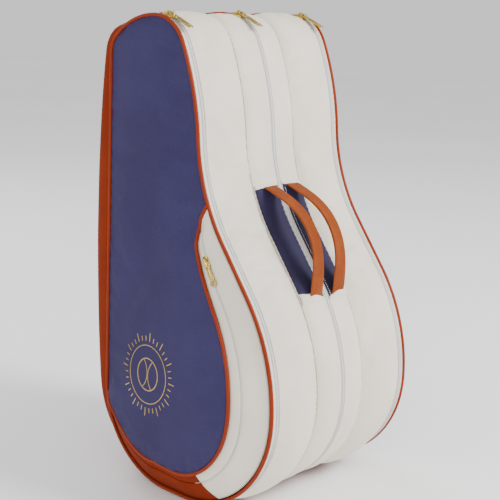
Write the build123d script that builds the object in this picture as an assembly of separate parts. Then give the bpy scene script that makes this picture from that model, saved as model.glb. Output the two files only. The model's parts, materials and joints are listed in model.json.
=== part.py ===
from build123d import *
import math
import os

# Racket tournament bag, standing on its head end. X runs across the three compartments, +Y is the
# spine that lies on the wearer's back, -Y is the handle side, and +Z is up. The origin is the middle
# of the standing face under the base board. Everything is in millimetres.

# --- overall sizes -------------------------------------------------------------------------------
BAG_HEIGHT = 760.0  # side outline, from the underside of the shell to the nose
BAG_WIDTH = 330.0  # from one side piping to the other
MIDDLE_WIDTH = 112.0  # middle compartment, between the two dividers
DRAWN_HEIGHT = 760.0  # the height at which the outline's radii below were drawn
SCALE = BAG_HEIGHT / DRAWN_HEIGHT  # a racket bag's outline grows with the racket it holds

# --- side outline: (radius, turn in degrees), anticlockwise from the nose seen with +Y to the right
NOSE_R, NOSE_TURN = 67.0 * SCALE, 65.0
SHOULDER_R, SHOULDER_TURN = 425.0 * SCALE, 20.0
NECK_R, NECK_TURN = 290.0 * SCALE, -32.0
NECK_RUN = 90.0 * SCALE
HEAD_R, HEAD_TURN = 296.0 * SCALE, 37.0
TOE_R = 178.0 * SCALE
BASE_RUN = 46.0 * SCALE
HEEL_R = 148.0 * SCALE
TOP_BACK_R, TOP_BACK_TURN = 131.0 * SCALE, 44.0
CORNER_TURN = 90.0 - TOP_BACK_TURN

# --- walls and clearances ------------------------------------------------------------------------
WALL = 5.0  # padded fabric of the bands round the outline
BOARD = 3.0  # side boards and dividers
PIPING_R = 3.5
GAP = 0.3  # between soft pieces that only touch
SPLIT_GAP = 0.2  # between the two halves of a closed zip
BASE_BOARD = 4.0
BACK_BULGE = 30.0  # how far the padded back stands out of the spine
STRIP = 12.0  # band between the side piping and the side zip's teeth

# --- zips ----------------------------------------------------------------------------------------
TAPE_WIDTH = 5.0  # what shows of each half of the tape
TAPE_THICK = 2.0
TAPE_DEPTH = 1.5  # tape lies this far below the fabric
COIL_WIDTH = 2.2
COIL_RISE = 1.2  # teeth stand this far above the fabric's line
SLIDER_LENGTH, SLIDER_WIDTH, SLIDER_PLATE = 15.0, 10.0, 2.2
BAIL_RISE, BAIL_WALL, BAIL_WIDTH, BAIL_AT = 6.5, 1.8, 4.0, 2.5
PULL_LENGTH, PULL_WIDTH, PULL_THICK = 34.0, 9.0, 2.0
PIN_R = 1.1
PULL_LAY, POCKET_PULL_LAY = 10.0, 0.0  # degrees that a resting pull tips down towards the fabric
RUN = 0.3  # running clearance of sliders and pulls

# --- pocket --------------------------------------------------------------------------------------
POCKET_DEPTH_TOP, POCKET_DEPTH_TOE = 10.0, 48.0  # face above the side board, at the fold and the toe
POCKET_WALL = 3.0
POCKET_FOOT_INSET = 4.5  # foot of the gusset inside the side outline
POCKET_RIM_HEAD, POCKET_RIM_TOE, POCKET_RIM_REACH = 7.0, 55.0, 34.0  # inset of the rim, and its ease
POCKET_RIM_HEEL = 0.4  # share of the inset lost along the heel
COVER_SHARE = 0.3  # share of the gusset's width that opens with its cover
POCKET_PIPING_R = 3.0

# --- handles, straps -----------------------------------------------------------------------------
WEB_WIDTH, WEB_THICK = 28.0, 4.0
HANDLE_RISE = 46.0  # how far a handle stands off its patch
HANDLE_X = 27.0
PATCH_THICK = 1.0
STRAP_WIDTH, STRAP_THICK = 44.0, 9.0
STRAP_X = 28.0
STRAP_TOP, STRAP_FOOT = 600.0 * SCALE, 350.0 * SCALE
STRAP_RISE = 34.0  # how far a resting strap stands off the back
STRAP_WEB_WIDTH, STRAP_WEB_THICK, STRAP_WEB_FOOT = 25.0, 2.0, 215.0 * SCALE
STRAP_WEB_RISE = 7.0
BUCKLE_LENGTH, BUCKLE_WIDTH, BUCKLE_THICK, BUCKLE_SLOT = 22.0, 34.0, 5.0, 4.0

os.makedirs("parts", exist_ok=True)


# --- the outline as a chain of arcs and runs -----------------------------------------------------
def chain():
    """Segments as (start y, start z, heading, radius or None, turn or run), from the nose round."""
    steps = [
        (NOSE_R, NOSE_TURN),
        (SHOULDER_R, SHOULDER_TURN),
        (NECK_R, NECK_TURN),
        (None, NECK_RUN),
        (HEAD_R, HEAD_TURN),
        (TOE_R, 90.0),
        (None, BASE_RUN),
        (HEEL_R, 90.0),
    ]
    y, z, heading, made = 0.0, 0.0, 180.0, []
    for radius, amount in steps:
        made.append([y, z, heading, radius, amount])
        y, z, heading = follow(y, z, heading, radius, amount)
    # the spine's run and the corner above it close the loop
    back_y = y
    fall_y = TOP_BACK_R * math.sin(math.radians(TOP_BACK_TURN))
    fall_z = TOP_BACK_R * (1 - math.cos(math.radians(TOP_BACK_TURN)))
    corner_r = (back_y - fall_y) / (1 - math.sin(math.radians(TOP_BACK_TURN)))
    corner_z = -fall_z - corner_r * math.cos(math.radians(TOP_BACK_TURN))
    made.append([y, z, heading, None, corner_z - z])
    y, z, heading = follow(y, z, heading, None, corner_z - z)
    for radius, amount in ((corner_r, CORNER_TURN), (TOP_BACK_R, TOP_BACK_TURN)):
        made.append([y, z, heading, radius, amount])
        y, z, heading = follow(y, z, heading, radius, amount)
    base = made[BASE]
    shift_y, shift_z = -base[0] - BASE_RUN / 2, BASE_BOARD + GAP - base[1]
    return [[a + shift_y, b + shift_z, h, r, n] for a, b, h, r, n in made]


def follow(y, z, heading, radius, amount):
    """Where a segment ends, and its heading there."""
    if radius is None:
        a = math.radians(heading)
        return y + amount * math.cos(a), z + amount * math.sin(a), heading
    side = 1.0 if amount > 0 else -1.0
    a = math.radians(heading + 90.0 * side)
    cy, cz = y + radius * math.cos(a), z + radius * math.sin(a)
    b = math.radians(heading + amount - 90.0 * side)
    return cy + radius * math.cos(b), cz + radius * math.sin(b), heading + amount


NOSE, SHOULDER, NECK, NECK_STRAIGHT, HEAD, TOE, BASE, HEEL, SPINE, CORNER, TOP_BACK = range(11)
CHAIN = chain()
SPINE_Y = CHAIN[SPINE][0]


def place(seg, share, inset=0.0):
    """Point (y, z) on the outline moved inwards by inset, at a share of a segment."""
    y, z, heading, radius, amount = CHAIN[seg]
    y, z, heading = follow(y, z, heading, radius, amount * share)
    a = math.radians(heading + 90.0)
    return y + inset * math.cos(a), z + inset * math.sin(a)


def heading_at(seg, share):
    y, z, heading, radius, amount = CHAIN[seg]
    return follow(y, z, heading, radius, amount * share)[2]


def centre(seg):
    """Centre (y, z) of an arc segment."""
    y, z, heading, radius, amount = CHAIN[seg]
    a = math.radians(heading + (90.0 if amount > 0 else -90.0))
    return y + radius * math.cos(a), z + radius * math.sin(a)


def edges(start, stop, inset, x=0.0):
    """Edges along the outline between two (segment, share) stations, in the plane at x."""
    (seg, t0), (last, t1) = start, stop
    made = []
    while True:
        end = t1 if seg == last and (t1 > t0 or made) else 1.0
        if end > t0:
            made.append((seg, t0, end))
        if seg == last and end == t1:
            break
        seg, t0 = (seg + 1) % len(CHAIN), 0.0
    lines = []
    for seg, a, b in made:
        p, m, q = (Vector(x, *place(seg, t, inset)) for t in (a, (a + b) / 2, b))
        straight = CHAIN[seg][3] is None
        lines.append(Line(p, q) if straight else ThreePointArc(p, m, q))
    return lines


def band(x0, x1, outer, inner, start, stop):
    """Solid strip round the outline, between two insets, from x0 to x1."""
    a, b = edges(start, stop, outer, x0), edges(start, stop, inner, x0)
    ends = [Line(a[0] @ 0, b[0] @ 0), Line(a[-1] @ 1, b[-1] @ 1)]
    return extrude(make_face(a + b + ends), x1 - x0, dir=(1, 0, 0))


def plate(x0, x1, inset):
    """Solid board with the whole outline moved inwards."""
    ring = edges((NOSE, 0.0), (TOP_BACK, 1.0), inset, x0)
    return extrude(make_face(ring), x1 - x0, dir=(1, 0, 0))


def save(shape, name):
    solids = shape.solids()
    export_step(solids[0] if len(solids) == 1 else Compound(children=list(solids)), f"parts/{name}.step")


def both(shape, name):
    """Writes a left piece and its mirror image on the right."""
    save(shape, f"left_{name}")
    save(mirror(shape, about=Plane.YZ), f"right_{name}")


# --- stations ------------------------------------------------------------------------------------
TOP_EDGE = (TOP_BACK, 0.88)  # the fabric's front edge behind the nose
FRONT_EDGE = (TOE, 0.70)  # the base panel's front edge
ZIP_TOP, ZIP_FOOT = (NOSE, 0.12), (TOE, 0.69)
HALF = BAG_WIDTH / 2
MID = MIDDLE_WIDTH / 2
ZIP_X = HALF - STRIP
CORNER_ROOM = PIPING_R + GAP
BACK_Y = SPINE_Y + BACK_BULGE


# --- bands and boards ----------------------------------------------------------------------------
def cream(x0, x1):
    """Front fabric, from behind the nose down to the base panel."""
    lower = (FRONT_EDGE[0], FRONT_EDGE[1] - 0.004)
    return band(x0, x1, 0.0, WALL, TOP_EDGE, lower)


def leather(x0, x1):
    """Spine and base panel, from the base's front edge up to behind the nose."""
    upper = (TOP_EDGE[0], TOP_EDGE[1] - 0.008)
    return band(x0, x1, 0.0, WALL, FRONT_EDGE, upper)


def back_pad(x0, x1):
    """Padding of the back: a lens on the spine's straight run."""
    z0, z1 = CHAIN[SPINE][1], CHAIN[SPINE][1] + CHAIN[SPINE][4]
    foot, crown = Vector(x0, SPINE_Y, z0), Vector(x0, SPINE_Y, z1)
    bulge = Vector(x0, BACK_Y, (z0 + z1) / 2)
    lens = make_face([Line(foot, crown), ThreePointArc(foot, bulge, crown)])
    return extrude(lens, x1 - x0, dir=(1, 0, 0))


def zip_half(edge_x, fabric_x):
    """Half a zip: the tape up to the fabric's edge, and the row of teeth along the split."""
    low, high = sorted((edge_x, fabric_x))
    tape = band(low, high, TAPE_DEPTH, TAPE_DEPTH + TAPE_THICK, ZIP_TOP, ZIP_FOOT)
    teeth_x = edge_x + math.copysign(COIL_WIDTH, fabric_x - edge_x)
    low, high = sorted((edge_x, teeth_x))
    return tape + band(low, high, -COIL_RISE, TAPE_DEPTH, ZIP_TOP, ZIP_FOOT)


def cut_for_zip(fabric, edge_x, fabric_x):
    """Takes the room of a zip half out of a band that runs up to the split."""
    low, high = sorted((edge_x, fabric_x))
    return fabric - band(low, high, -1.0, WALL + 1.0, ZIP_TOP, ZIP_FOOT)


outer_edge, inner_edge = -ZIP_X - SPLIT_GAP / 2, -ZIP_X + SPLIT_GAP / 2
mid_edge = -SPLIT_GAP / 2
divider_x = -MID

both(plate(divider_x - BOARD, divider_x, WALL), "divider")
front = band(inner_edge, divider_x, 0.0, WALL, TOP_EDGE, (TOE, FRONT_EDGE[1] - 0.004))
both(cut_for_zip(front, inner_edge, inner_edge + TAPE_WIDTH), "front_panel")
both(leather(inner_edge, divider_x), "spine_panel")
both(back_pad(inner_edge + STRIP, divider_x), "back_pad")
both(zip_half(inner_edge, inner_edge + TAPE_WIDTH), "zip_inner")
middle = band(divider_x, mid_edge, 0.0, WALL, TOP_EDGE, (TOE, FRONT_EDGE[1] - 0.004))
middle = cut_for_zip(middle, mid_edge, mid_edge - TAPE_WIDTH)
both(zip_half(mid_edge, mid_edge - TAPE_WIDTH), "centre_zip")

# side lid: a board, its edge bands, the piping round it and its half of the zip
both(plate(-HALF, -HALF + CORNER_ROOM, CORNER_ROOM), "side_panel")
strip = cream(-HALF + CORNER_ROOM, outer_edge)
both(cut_for_zip(strip, outer_edge, outer_edge - TAPE_WIDTH), "edge_strip")
both(leather(-HALF + CORNER_ROOM, outer_edge), "edge_spine")
both(zip_half(outer_edge, outer_edge - TAPE_WIDTH), "zip_outer")
ring = Wire(edges((NOSE, 0.0), (TOP_BACK, 1.0), 0.0, -HALF))
start_plane = Plane(ring @ 0, z_dir=ring % 0)
both(sweep(start_plane * Circle(PIPING_R), path=ring), "side_piping")

# spine, base
inner_x = MID - GAP
save(leather(-inner_x, inner_x), "spine_centre_panel")
save(back_pad(-inner_x, inner_x), "back_centre_pad")
board_y = CHAIN[BASE][0] - 20.0 * SCALE, CHAIN[HEEL][0] + 20.0 * SCALE
board = Box(2 * ZIP_X - 20, board_y[1] - board_y[0], BASE_BOARD)
board = Pos(0, sum(board_y) / 2, BASE_BOARD / 2) * board
save(fillet(board.edges().filter_by(Axis.Z), 12.0), "base_board")


# --- handles and their patches -------------------------------------------------------------------
HANDLE_TOP, HANDLE_FOOT = (NECK, 0.5), (HEAD, 0.16)
HANDLE_SWING = 25.0
CUT = 60.0  # half size of the cutting blocks, well past what they cut
patch = band(divider_x + 2, mid_edge - TAPE_WIDTH - 1, -PATCH_THICK, 0.0, HANDLE_TOP, HANDLE_FOOT)
both(patch, "handle_patch")
both(middle, "middle_panel")


def handle_axis():
    """Line through both ends of a handle, just off its patch."""
    stand = PATCH_THICK + GAP
    top = Vector(-HANDLE_X, *place(*HANDLE_TOP, -stand))
    foot = Vector(-HANDLE_X, *place(*HANDLE_FOOT, -stand))
    return top, foot


def handle():
    """Webbing bow over the neck's hollow, its ends pointed so that it swings clear of the patch."""
    top, foot = handle_axis()
    along = (foot - top).normalized()
    out = Vector(0, along.Z, -along.Y)
    sunk = out * -WEB_THICK
    crown = top + along * ((foot - top).length / 2) + out * HANDLE_RISE
    line = ThreePointArc(top + sunk, crown, foot + sunk)
    profile = Plane(line @ 0, x_dir=(1, 0, 0), z_dir=line % 0) * Rectangle(WEB_WIDTH, WEB_THICK)
    bow = sweep(profile, path=line)
    seat = Plane((top + foot) * 0.5, x_dir=along, z_dir=out)
    block = Pos(0, 0, -CUT) * Box(4 * CUT, 4 * CUT, 2 * CUT)
    for tilt in (HANDLE_SWING + 2, -HANDLE_SWING - 2):
        bow = bow - seat * (Rot(tilt, 0, 0) * block)
    return bow


both(handle(), "handle")


# --- zip sliders and pulls -----------------------------------------------------------------------
SLIDER_AT = 0.24  # share of the nose arc where a closed slider rests


def on_nose(share):
    """Plane on the zip at the nose: x across, y down the zip, z out of the fabric."""
    y, z = place(NOSE, share, -COIL_RISE)
    a = math.radians(heading_at(NOSE, share))
    return Plane(Vector(0, y, z), x_dir=(-1, 0, 0), z_dir=Vector(0, math.sin(a), -math.cos(a)))


EYE_Z = RUN + SLIDER_PLATE + (BAIL_RISE - BAIL_WALL) / 2


def slider():
    """Slider on the split: a plate over the teeth and the bail for the pull."""
    top = Pos(0, 0, RUN + SLIDER_PLATE / 2) * Box(SLIDER_WIDTH, SLIDER_LENGTH, SLIDER_PLATE)
    top = fillet(top.edges().filter_by(Axis.Z), 2.5)
    bail_length = SLIDER_LENGTH * 0.55
    bail = Box(BAIL_WIDTH, bail_length, BAIL_RISE)
    eye = Pos(0, 0, -BAIL_WALL) * Box(BAIL_WIDTH + 2, bail_length - 2 * BAIL_WALL, BAIL_RISE)
    return top + Pos(0, BAIL_AT, RUN + SLIDER_PLATE + BAIL_RISE / 2) * (bail - eye)


def pull(lay):
    """Pull: a pin through the bail, two rails, a cross bar and a rounded end."""
    rail_width, cross_at = 2.2, SLIDER_LENGTH / 2 + 3.0
    rail_length = PULL_LENGTH - PULL_WIDTH / 2
    body = Cylinder(PIN_R, PULL_WIDTH, rotation=(0, 90, 0))
    for side in (-1, 1):
        rail_x = side * (PULL_WIDTH - rail_width) / 2
        body = body + Pos(rail_x, rail_length / 2, 0) * Box(rail_width, rail_length, PULL_THICK)
    body = body + Pos(0, rail_length, 0) * Cylinder(PULL_WIDTH / 2, PULL_THICK)
    body = body + Pos(0, cross_at, 0) * Box(PULL_WIDTH, 2.0, PULL_THICK)
    return Pos(0, BAIL_AT, EYE_Z) * (Rot(-lay, 0, 0) * body)


nose = on_nose(SLIDER_AT)
both(Pos(-ZIP_X, 0, 0) * (nose * slider()), "zip_slider")
both(Pos(-ZIP_X, 0, 0) * (nose * pull(PULL_LAY)), "zip_pull")
save(nose * slider(), "centre_zip_slider")
save(nose * pull(PULL_LAY), "centre_zip_pull")


# --- side pockets --------------------------------------------------------------------------------
POCKET_HEAD, POCKET_HEEL = (NECK, 0.60), (HEEL, 0.93)
FOLD_A, FOLD_B = Vector(0, *place(*POCKET_HEAD)), Vector(0, *place(*POCKET_HEEL))
FOLD = (FOLD_B - FOLD_A).normalized()
AWAY = Vector(0, FOLD.Z, -FOLD.Y)  # in the side's plane, from the fold towards the toe


def depth_plane(share, less):
    """Plane, facing outwards, at a share of the pocket's depth, less a constant."""
    toe = place(TOE, 0.5)
    reach = (Vector(0, *toe) - FOLD_A).dot(AWAY)
    rise = share * (POCKET_DEPTH_TOE - POCKET_DEPTH_TOP) / reach
    start = Vector(-HALF - share * POCKET_DEPTH_TOP + less, FOLD_A.Y, FOLD_A.Z)
    return Plane(start, x_dir=FOLD, z_dir=Vector(-1, -rise * AWAY.Y, -rise * AWAY.Z))


def lift(point, plane):
    """The point of a plane that lies straight out from a point of the side."""
    n = plane.z_dir
    away = (point.Y - plane.origin.Y) * n.Y + (point.Z - plane.origin.Z) * n.Z
    return Vector(plane.origin.X - away / n.X, point.Y, point.Z)


def rim_inset(seg, t):
    """Inset of the rim: little at the fold, quickly its full value, and less again round the heel."""
    reach = (Vector(0, *place(seg, t)) - FOLD_A).dot(AWAY)
    inset = POCKET_RIM_TOE - (POCKET_RIM_TOE - POCKET_RIM_HEAD) * math.exp(-reach / POCKET_RIM_REACH)
    return inset * (1 - POCKET_RIM_HEEL * t) if seg == HEEL else inset


def on_gusset(seg, t, share, wall=0.0):
    """Point of the gusset over a station of the outline: share 0 at its foot, 1 at its rim."""
    inset = POCKET_FOOT_INSET + share * (rim_inset(seg, t) - POCKET_FOOT_INSET) + wall
    plane = depth_plane(share, share * 2 * POCKET_PIPING_R - GAP)
    return lift(Vector(0, *place(seg, t, inset)), plane)


def pocket_edges(spot, draw_in=0.0):
    """Edges from the pocket's head round the toe to its heel, through spot(segment, share)."""
    head, heel = (NECK, POCKET_HEAD[1] + draw_in), (HEEL, POCKET_HEEL[1] - draw_in)
    pieces = [(NECK, head[1], 1.0), (NECK_STRAIGHT, 0.0, 1.0), (HEAD, 0.0, 1.0), (TOE, 0.0, 0.5)]
    pieces += [(TOE, 0.5, 1.0), (BASE, 0.0, 1.0), (HEEL, 0.0, heel[1])]
    lines = []
    for seg, a, b in pieces:
        p, m, q = spot(seg, a), spot(seg, (a + b) / 2), spot(seg, b)
        bent = abs((m - p).normalized().dot((q - m).normalized())) < 1 - 1e-7
        lines.append(ThreePointArc(p, m, q) if bent else Line(p, q))
    return lines


def gusset_band(low, high, draw_in):
    """Wall of the gusset between two shares of its width."""
    sections = []
    for share in (low, high):
        outer = pocket_edges(lambda seg, t: on_gusset(seg, t, share), draw_in)
        inner = pocket_edges(lambda seg, t: on_gusset(seg, t, share, POCKET_WALL), draw_in)
        ends = [Line(outer[0] @ 0, inner[0] @ 0), Line(outer[-1] @ 1, inner[-1] @ 1)]
        sections.append(make_face(outer + inner + ends))
    return loft(sections, ruled=True)


COVER_DRAW_IN = 0.07  # the cover's rim ends this share of an arc short of the fold
split_share = GAP / POCKET_DEPTH_TOP  # so that the gap is full even where the gusset is narrowest
both(gusset_band(0.0, 1.0 - COVER_SHARE, 0.0), "pocket_gusset")
both(gusset_band(1.0 - COVER_SHARE + split_share, 1.0, COVER_DRAW_IN), "pocket_cover_edge")


def on_face(less, wall):
    """Station lookup for pocket_edges on a plane less under the face, inside the rim by wall."""
    plane = depth_plane(1.0, less)
    return lambda seg, t: lift(Vector(0, *place(seg, t, rim_inset(seg, t) + wall)), plane)


rim_room = 2 * POCKET_PIPING_R + GAP
outline = pocket_edges(on_face(0.0, rim_room), COVER_DRAW_IN)
face = make_face(outline + [Line(outline[-1] @ 1, outline[0] @ 0)])
both(extrude(face, POCKET_WALL, dir=(1, 0, 0)), "pocket_panel")
sections = []
for less in (2 * POCKET_PIPING_R - 2 * GAP, 0.0):
    outer = pocket_edges(on_face(less, 0.0), COVER_DRAW_IN)
    inner = pocket_edges(on_face(less, 2 * POCKET_PIPING_R), COVER_DRAW_IN)
    ends = [Line(outer[0] @ 0, inner[0] @ 0), Line(outer[-1] @ 1, inner[-1] @ 1)]
    sections.append(make_face(outer + inner + ends))
both(loft(sections, ruled=True), "pocket_piping")
POCKET_HINGE = [point + Vector(POCKET_WALL, 0, 0) for point in (outline[0] @ 0, outline[-1] @ 1)]


# --- pocket zip slider: rests at the head of the zip's straight stretch ---------------------------
POCKET_SLIDER_AT, POCKET_SLIDER_END = 0.12, 0.95
zip_share = 1.0 - COVER_SHARE
first = on_gusset(NECK_STRAIGHT, POCKET_SLIDER_AT, zip_share)
pocket_run = (on_gusset(NECK_STRAIGHT, POCKET_SLIDER_END, zip_share) - first).normalized()
across = on_gusset(NECK_STRAIGHT, POCKET_SLIDER_AT, 1.0) - first
surface = pocket_run.cross(across).normalized()
surface = surface if surface.X < 0 else surface * -1.0
pocket_seat = Plane(first + surface * RUN, x_dir=pocket_run.cross(surface), z_dir=surface)
both(pocket_seat * slider(), "pocket_zip_slider")
both(pocket_seat * pull(POCKET_PULL_LAY), "pocket_zip_pull")


# --- shoulder straps on the back -----------------------------------------------------------------
def back_arc(clear=0.0):
    """Outer line of the back pad's lens, moved out by a clearance."""
    z0, z1 = CHAIN[SPINE][1], CHAIN[SPINE][1] + CHAIN[SPINE][4]
    bulge = Vector(0, BACK_Y + clear, (z0 + z1) / 2)
    return ThreePointArc(Vector(0, SPINE_Y + clear, z0), bulge, Vector(0, SPINE_Y + clear, z1))


def on_back(z, out):
    """Point at a height, out from the back pad."""
    z0, z1 = CHAIN[SPINE][1], CHAIN[SPINE][1] + CHAIN[SPINE][4]
    radius = back_arc().radius
    depth = math.sqrt(radius**2 - (z - (z0 + z1) / 2) ** 2) - radius + BACK_Y
    return Vector(0, depth + out, z)


def strap_band(top, foot, rise, width, thick):
    """Bow of strap between two heights on the back, trimmed where it meets the pad."""
    a, b = on_back(top, GAP), on_back(foot, GAP)
    line = ThreePointArc(a, on_back((top + foot) / 2, rise), b)
    profile = Plane(line @ 0, x_dir=(1, 0, 0), z_dir=line % 0) * Rectangle(width, thick)
    arc = back_arc(GAP)
    closed = make_face([arc, Line(arc @ 1, Vector(0, 0, (arc @ 1).Z)),
                        Line(Vector(0, 0, (arc @ 1).Z), Vector(0, 0, (arc @ 0).Z)),
                        Line(Vector(0, 0, (arc @ 0).Z), arc @ 0)])
    room = Pos(-width, 0, 0) * extrude(closed, 2 * width, dir=(1, 0, 0))
    bow = sweep(profile, path=line) - room
    return Pos(-STRAP_X, 0, 0) * max(bow.solids(), key=lambda part: part.volume)


both(strap_band(STRAP_TOP, STRAP_FOOT, STRAP_RISE, STRAP_WIDTH, STRAP_THICK), "shoulder_strap")
buckle_z = STRAP_FOOT - STRAP_THICK - BUCKLE_LENGTH / 2
buckle = Box(BUCKLE_WIDTH, BUCKLE_THICK, BUCKLE_LENGTH)
for side in (-1, 1):
    slot = Box(STRAP_WEB_WIDTH + 1, 2 * BUCKLE_THICK, BUCKLE_SLOT)
    buckle = buckle - Pos(0, 0, side * BUCKLE_LENGTH / 4) * slot
buckle_at = on_back(buckle_z, BUCKLE_THICK / 2 + 1.0)
both(Pos(-STRAP_X, buckle_at.Y, buckle_z) * buckle, "strap_buckle")
web_top = buckle_z - BUCKLE_LENGTH / 2 - GAP
both(
    strap_band(web_top, STRAP_WEB_FOOT, STRAP_WEB_RISE, STRAP_WEB_WIDTH, STRAP_WEB_THICK),
    "strap_webbing",
)
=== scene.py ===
# %% [markdown]
# # A racket tournament bag
# This lesson dresses a packed bag in canvas, piping, zips and webbing. The frame holds the real
# sizes, the bodies and their joints; every piece made here rides on one of its bodies. Everything
# is in metres. X runs across the compartments, +Y is the back, and +Z is up.

# %% Load the frame
import math

import bmesh
import bpy
from mathutils import Matrix, Vector, kdtree, noise
from mathutils.bvhtree import BVHTree
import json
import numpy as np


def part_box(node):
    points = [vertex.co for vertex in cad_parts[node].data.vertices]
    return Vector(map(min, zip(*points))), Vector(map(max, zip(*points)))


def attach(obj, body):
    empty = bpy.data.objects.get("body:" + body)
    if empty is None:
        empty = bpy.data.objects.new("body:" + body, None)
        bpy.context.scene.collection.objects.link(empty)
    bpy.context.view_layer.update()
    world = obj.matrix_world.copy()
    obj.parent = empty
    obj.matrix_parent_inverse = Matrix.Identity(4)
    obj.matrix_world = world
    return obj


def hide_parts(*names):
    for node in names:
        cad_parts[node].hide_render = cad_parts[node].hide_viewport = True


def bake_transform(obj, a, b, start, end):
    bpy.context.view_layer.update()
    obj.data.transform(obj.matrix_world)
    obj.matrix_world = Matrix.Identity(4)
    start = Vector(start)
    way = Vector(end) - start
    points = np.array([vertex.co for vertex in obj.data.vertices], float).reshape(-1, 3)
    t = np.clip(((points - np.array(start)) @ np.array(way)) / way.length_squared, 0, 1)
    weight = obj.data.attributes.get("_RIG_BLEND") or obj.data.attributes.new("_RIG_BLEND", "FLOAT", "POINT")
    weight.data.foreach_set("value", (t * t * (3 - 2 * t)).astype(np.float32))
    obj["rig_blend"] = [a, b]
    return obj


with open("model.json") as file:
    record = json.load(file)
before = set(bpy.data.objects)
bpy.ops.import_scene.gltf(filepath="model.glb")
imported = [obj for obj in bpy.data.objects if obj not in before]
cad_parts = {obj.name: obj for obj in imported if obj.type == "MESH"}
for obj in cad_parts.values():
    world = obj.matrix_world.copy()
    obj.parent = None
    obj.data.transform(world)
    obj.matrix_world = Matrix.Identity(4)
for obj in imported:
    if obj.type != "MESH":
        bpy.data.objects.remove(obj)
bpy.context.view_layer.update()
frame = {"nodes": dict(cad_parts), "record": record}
MM = 0.001

# %% [markdown]
# The side of the bag is one closed line of arcs, each tangent to the next, as a pattern maker draws
# it with a compass. Each step is a radius and a turn in degrees; a radius of None is a straight
# run. The line starts at the nose and goes down the handle side, under the base and up the spine.

# %% The pattern line
NOSE, SHOULDER, NECK, NECK_STRAIGHT, HEAD, TOE, BASE, HEEL, SPINE, CORNER, TOP_BACK = range(11)
STEPS = [
    (67 * MM, 65),
    (425 * MM, 20),
    (290 * MM, -32),
    (None, 90 * MM),
    (296 * MM, 37),
    (178 * MM, 90),
    (None, 46 * MM),
    (148 * MM, 90),
]
TOP_BACK_STEP = (131 * MM, 44)
SHELL_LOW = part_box("spine_centre_panel")[0].z
SPINE_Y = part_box("spine_centre_panel")[1].y


def follow(y, z, heading, radius, amount):
    """Where a step of the pattern line ends, and its heading there."""
    if radius is None:
        a = math.radians(heading)
        return y + amount * math.cos(a), z + amount * math.sin(a), heading
    side = 1 if amount > 0 else -1
    a = math.radians(heading + 90 * side)
    b = math.radians(heading + amount - 90 * side)
    cy, cz = y + radius * math.cos(a), z + radius * math.sin(a)
    return cy + radius * math.cos(b), cz + radius * math.sin(b), heading + amount


def pattern_line():
    """The steps as [y, z, heading, radius, amount], closed by the spine and the corner above it."""
    y, z, heading, made = 0.0, 0.0, 180.0, []
    for radius, amount in STEPS:
        made.append([y, z, heading, radius, amount])
        y, z, heading = follow(y, z, heading, radius, amount)
    top_r, top_turn = TOP_BACK_STEP
    lean = math.radians(top_turn)
    corner_r = (y - top_r * math.sin(lean)) / (1 - math.sin(lean))
    corner_z = -top_r * (1 - math.cos(lean)) - corner_r * math.cos(lean)
    for radius, amount in ((None, corner_z - z), (corner_r, 90 - top_turn), TOP_BACK_STEP):
        made.append([y, z, heading, radius, amount])
        y, z, heading = follow(y, z, heading, radius, amount)
    base_y, base_z = made[BASE][0] + made[BASE][4] / 2, made[BASE][1]
    return [[a - base_y, b - base_z + SHELL_LOW, h, r, n] for a, b, h, r, n in made]


LINE = pattern_line()
LINE_LENGTH = sum(n if r is None else r * math.radians(abs(n)) for _, _, _, r, n in LINE)
print("pattern line", round(LINE_LENGTH, 3), "m, spine at y", round(LINE[SPINE][0], 4))


def station(seg, share, out=0.0):
    """Point (y, z) at a share of a step, moved outwards, and the outward direction there."""
    y, z, heading, radius, amount = LINE[seg]
    y, z, heading = follow(y, z, heading, radius, amount * share)
    a = math.radians(heading - 90)
    normal = Vector((0, math.cos(a), math.sin(a)))
    return Vector((0, y, z)) + normal * out, normal


# %% [markdown]
# A bmesh can draw that line itself. A single vertex is spun about each arc's centre, and extruded
# along each straight run. Every vertex remembers how far along the line it lies and which way is
# outwards, so that rows pulled across the bag later can be padded without any lookup.

# %% Draw a stretch of the line
GRAIN = 4.5 * MM  # distance between vertices along the line


def step_length(seg):
    _, _, _, radius, amount = LINE[seg]
    return amount if radius is None else radius * math.radians(abs(amount))


def line_position(seg, share):
    """Distance along the line from the nose."""
    return sum(step_length(i) for i in range(seg)) + step_length(seg) * share


def marks(bm):
    """Float layers that hold a vertex's distance along the line and its outward direction."""
    layers = bm.verts.layers.float
    return [layers.get(name) or layers.new(name) for name in ("along", "out_y", "out_z")]


def mark(bm, vert, seg, share):
    along, out_y, out_z = marks(bm)
    normal = station(seg, share)[1]
    vert[along] = line_position(seg, share)
    vert[out_y], vert[out_z] = normal.y, normal.z


def draw_line(bm, x, start, stop, out=0.0, grain=GRAIN):
    """Draws the stretch between two (step, share) stations at x; returns its vertices."""
    marks(bm)
    (seg, share), (last, last_share) = start, stop
    first = bm.verts.new(station(seg, share, out)[0] + Vector((x, 0, 0)))
    mark(bm, first, seg, share)
    row = [first]
    while True:
        wraps = seg == last and last_share <= share and len(row) == 1
        end = last_share if seg == last and not wraps else 1.0
        count = max(2, round(step_length(seg) * (end - share) / grain))
        made = extend(bm, row[-1], seg, share, end, count)
        for i, vert in enumerate(made):
            mark(bm, vert, seg, share + (end - share) * (i + 1) / count)
        row += made
        if seg == last and not wraps:
            return row
        seg, share = (seg + 1) % len(LINE), 0.0


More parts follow.
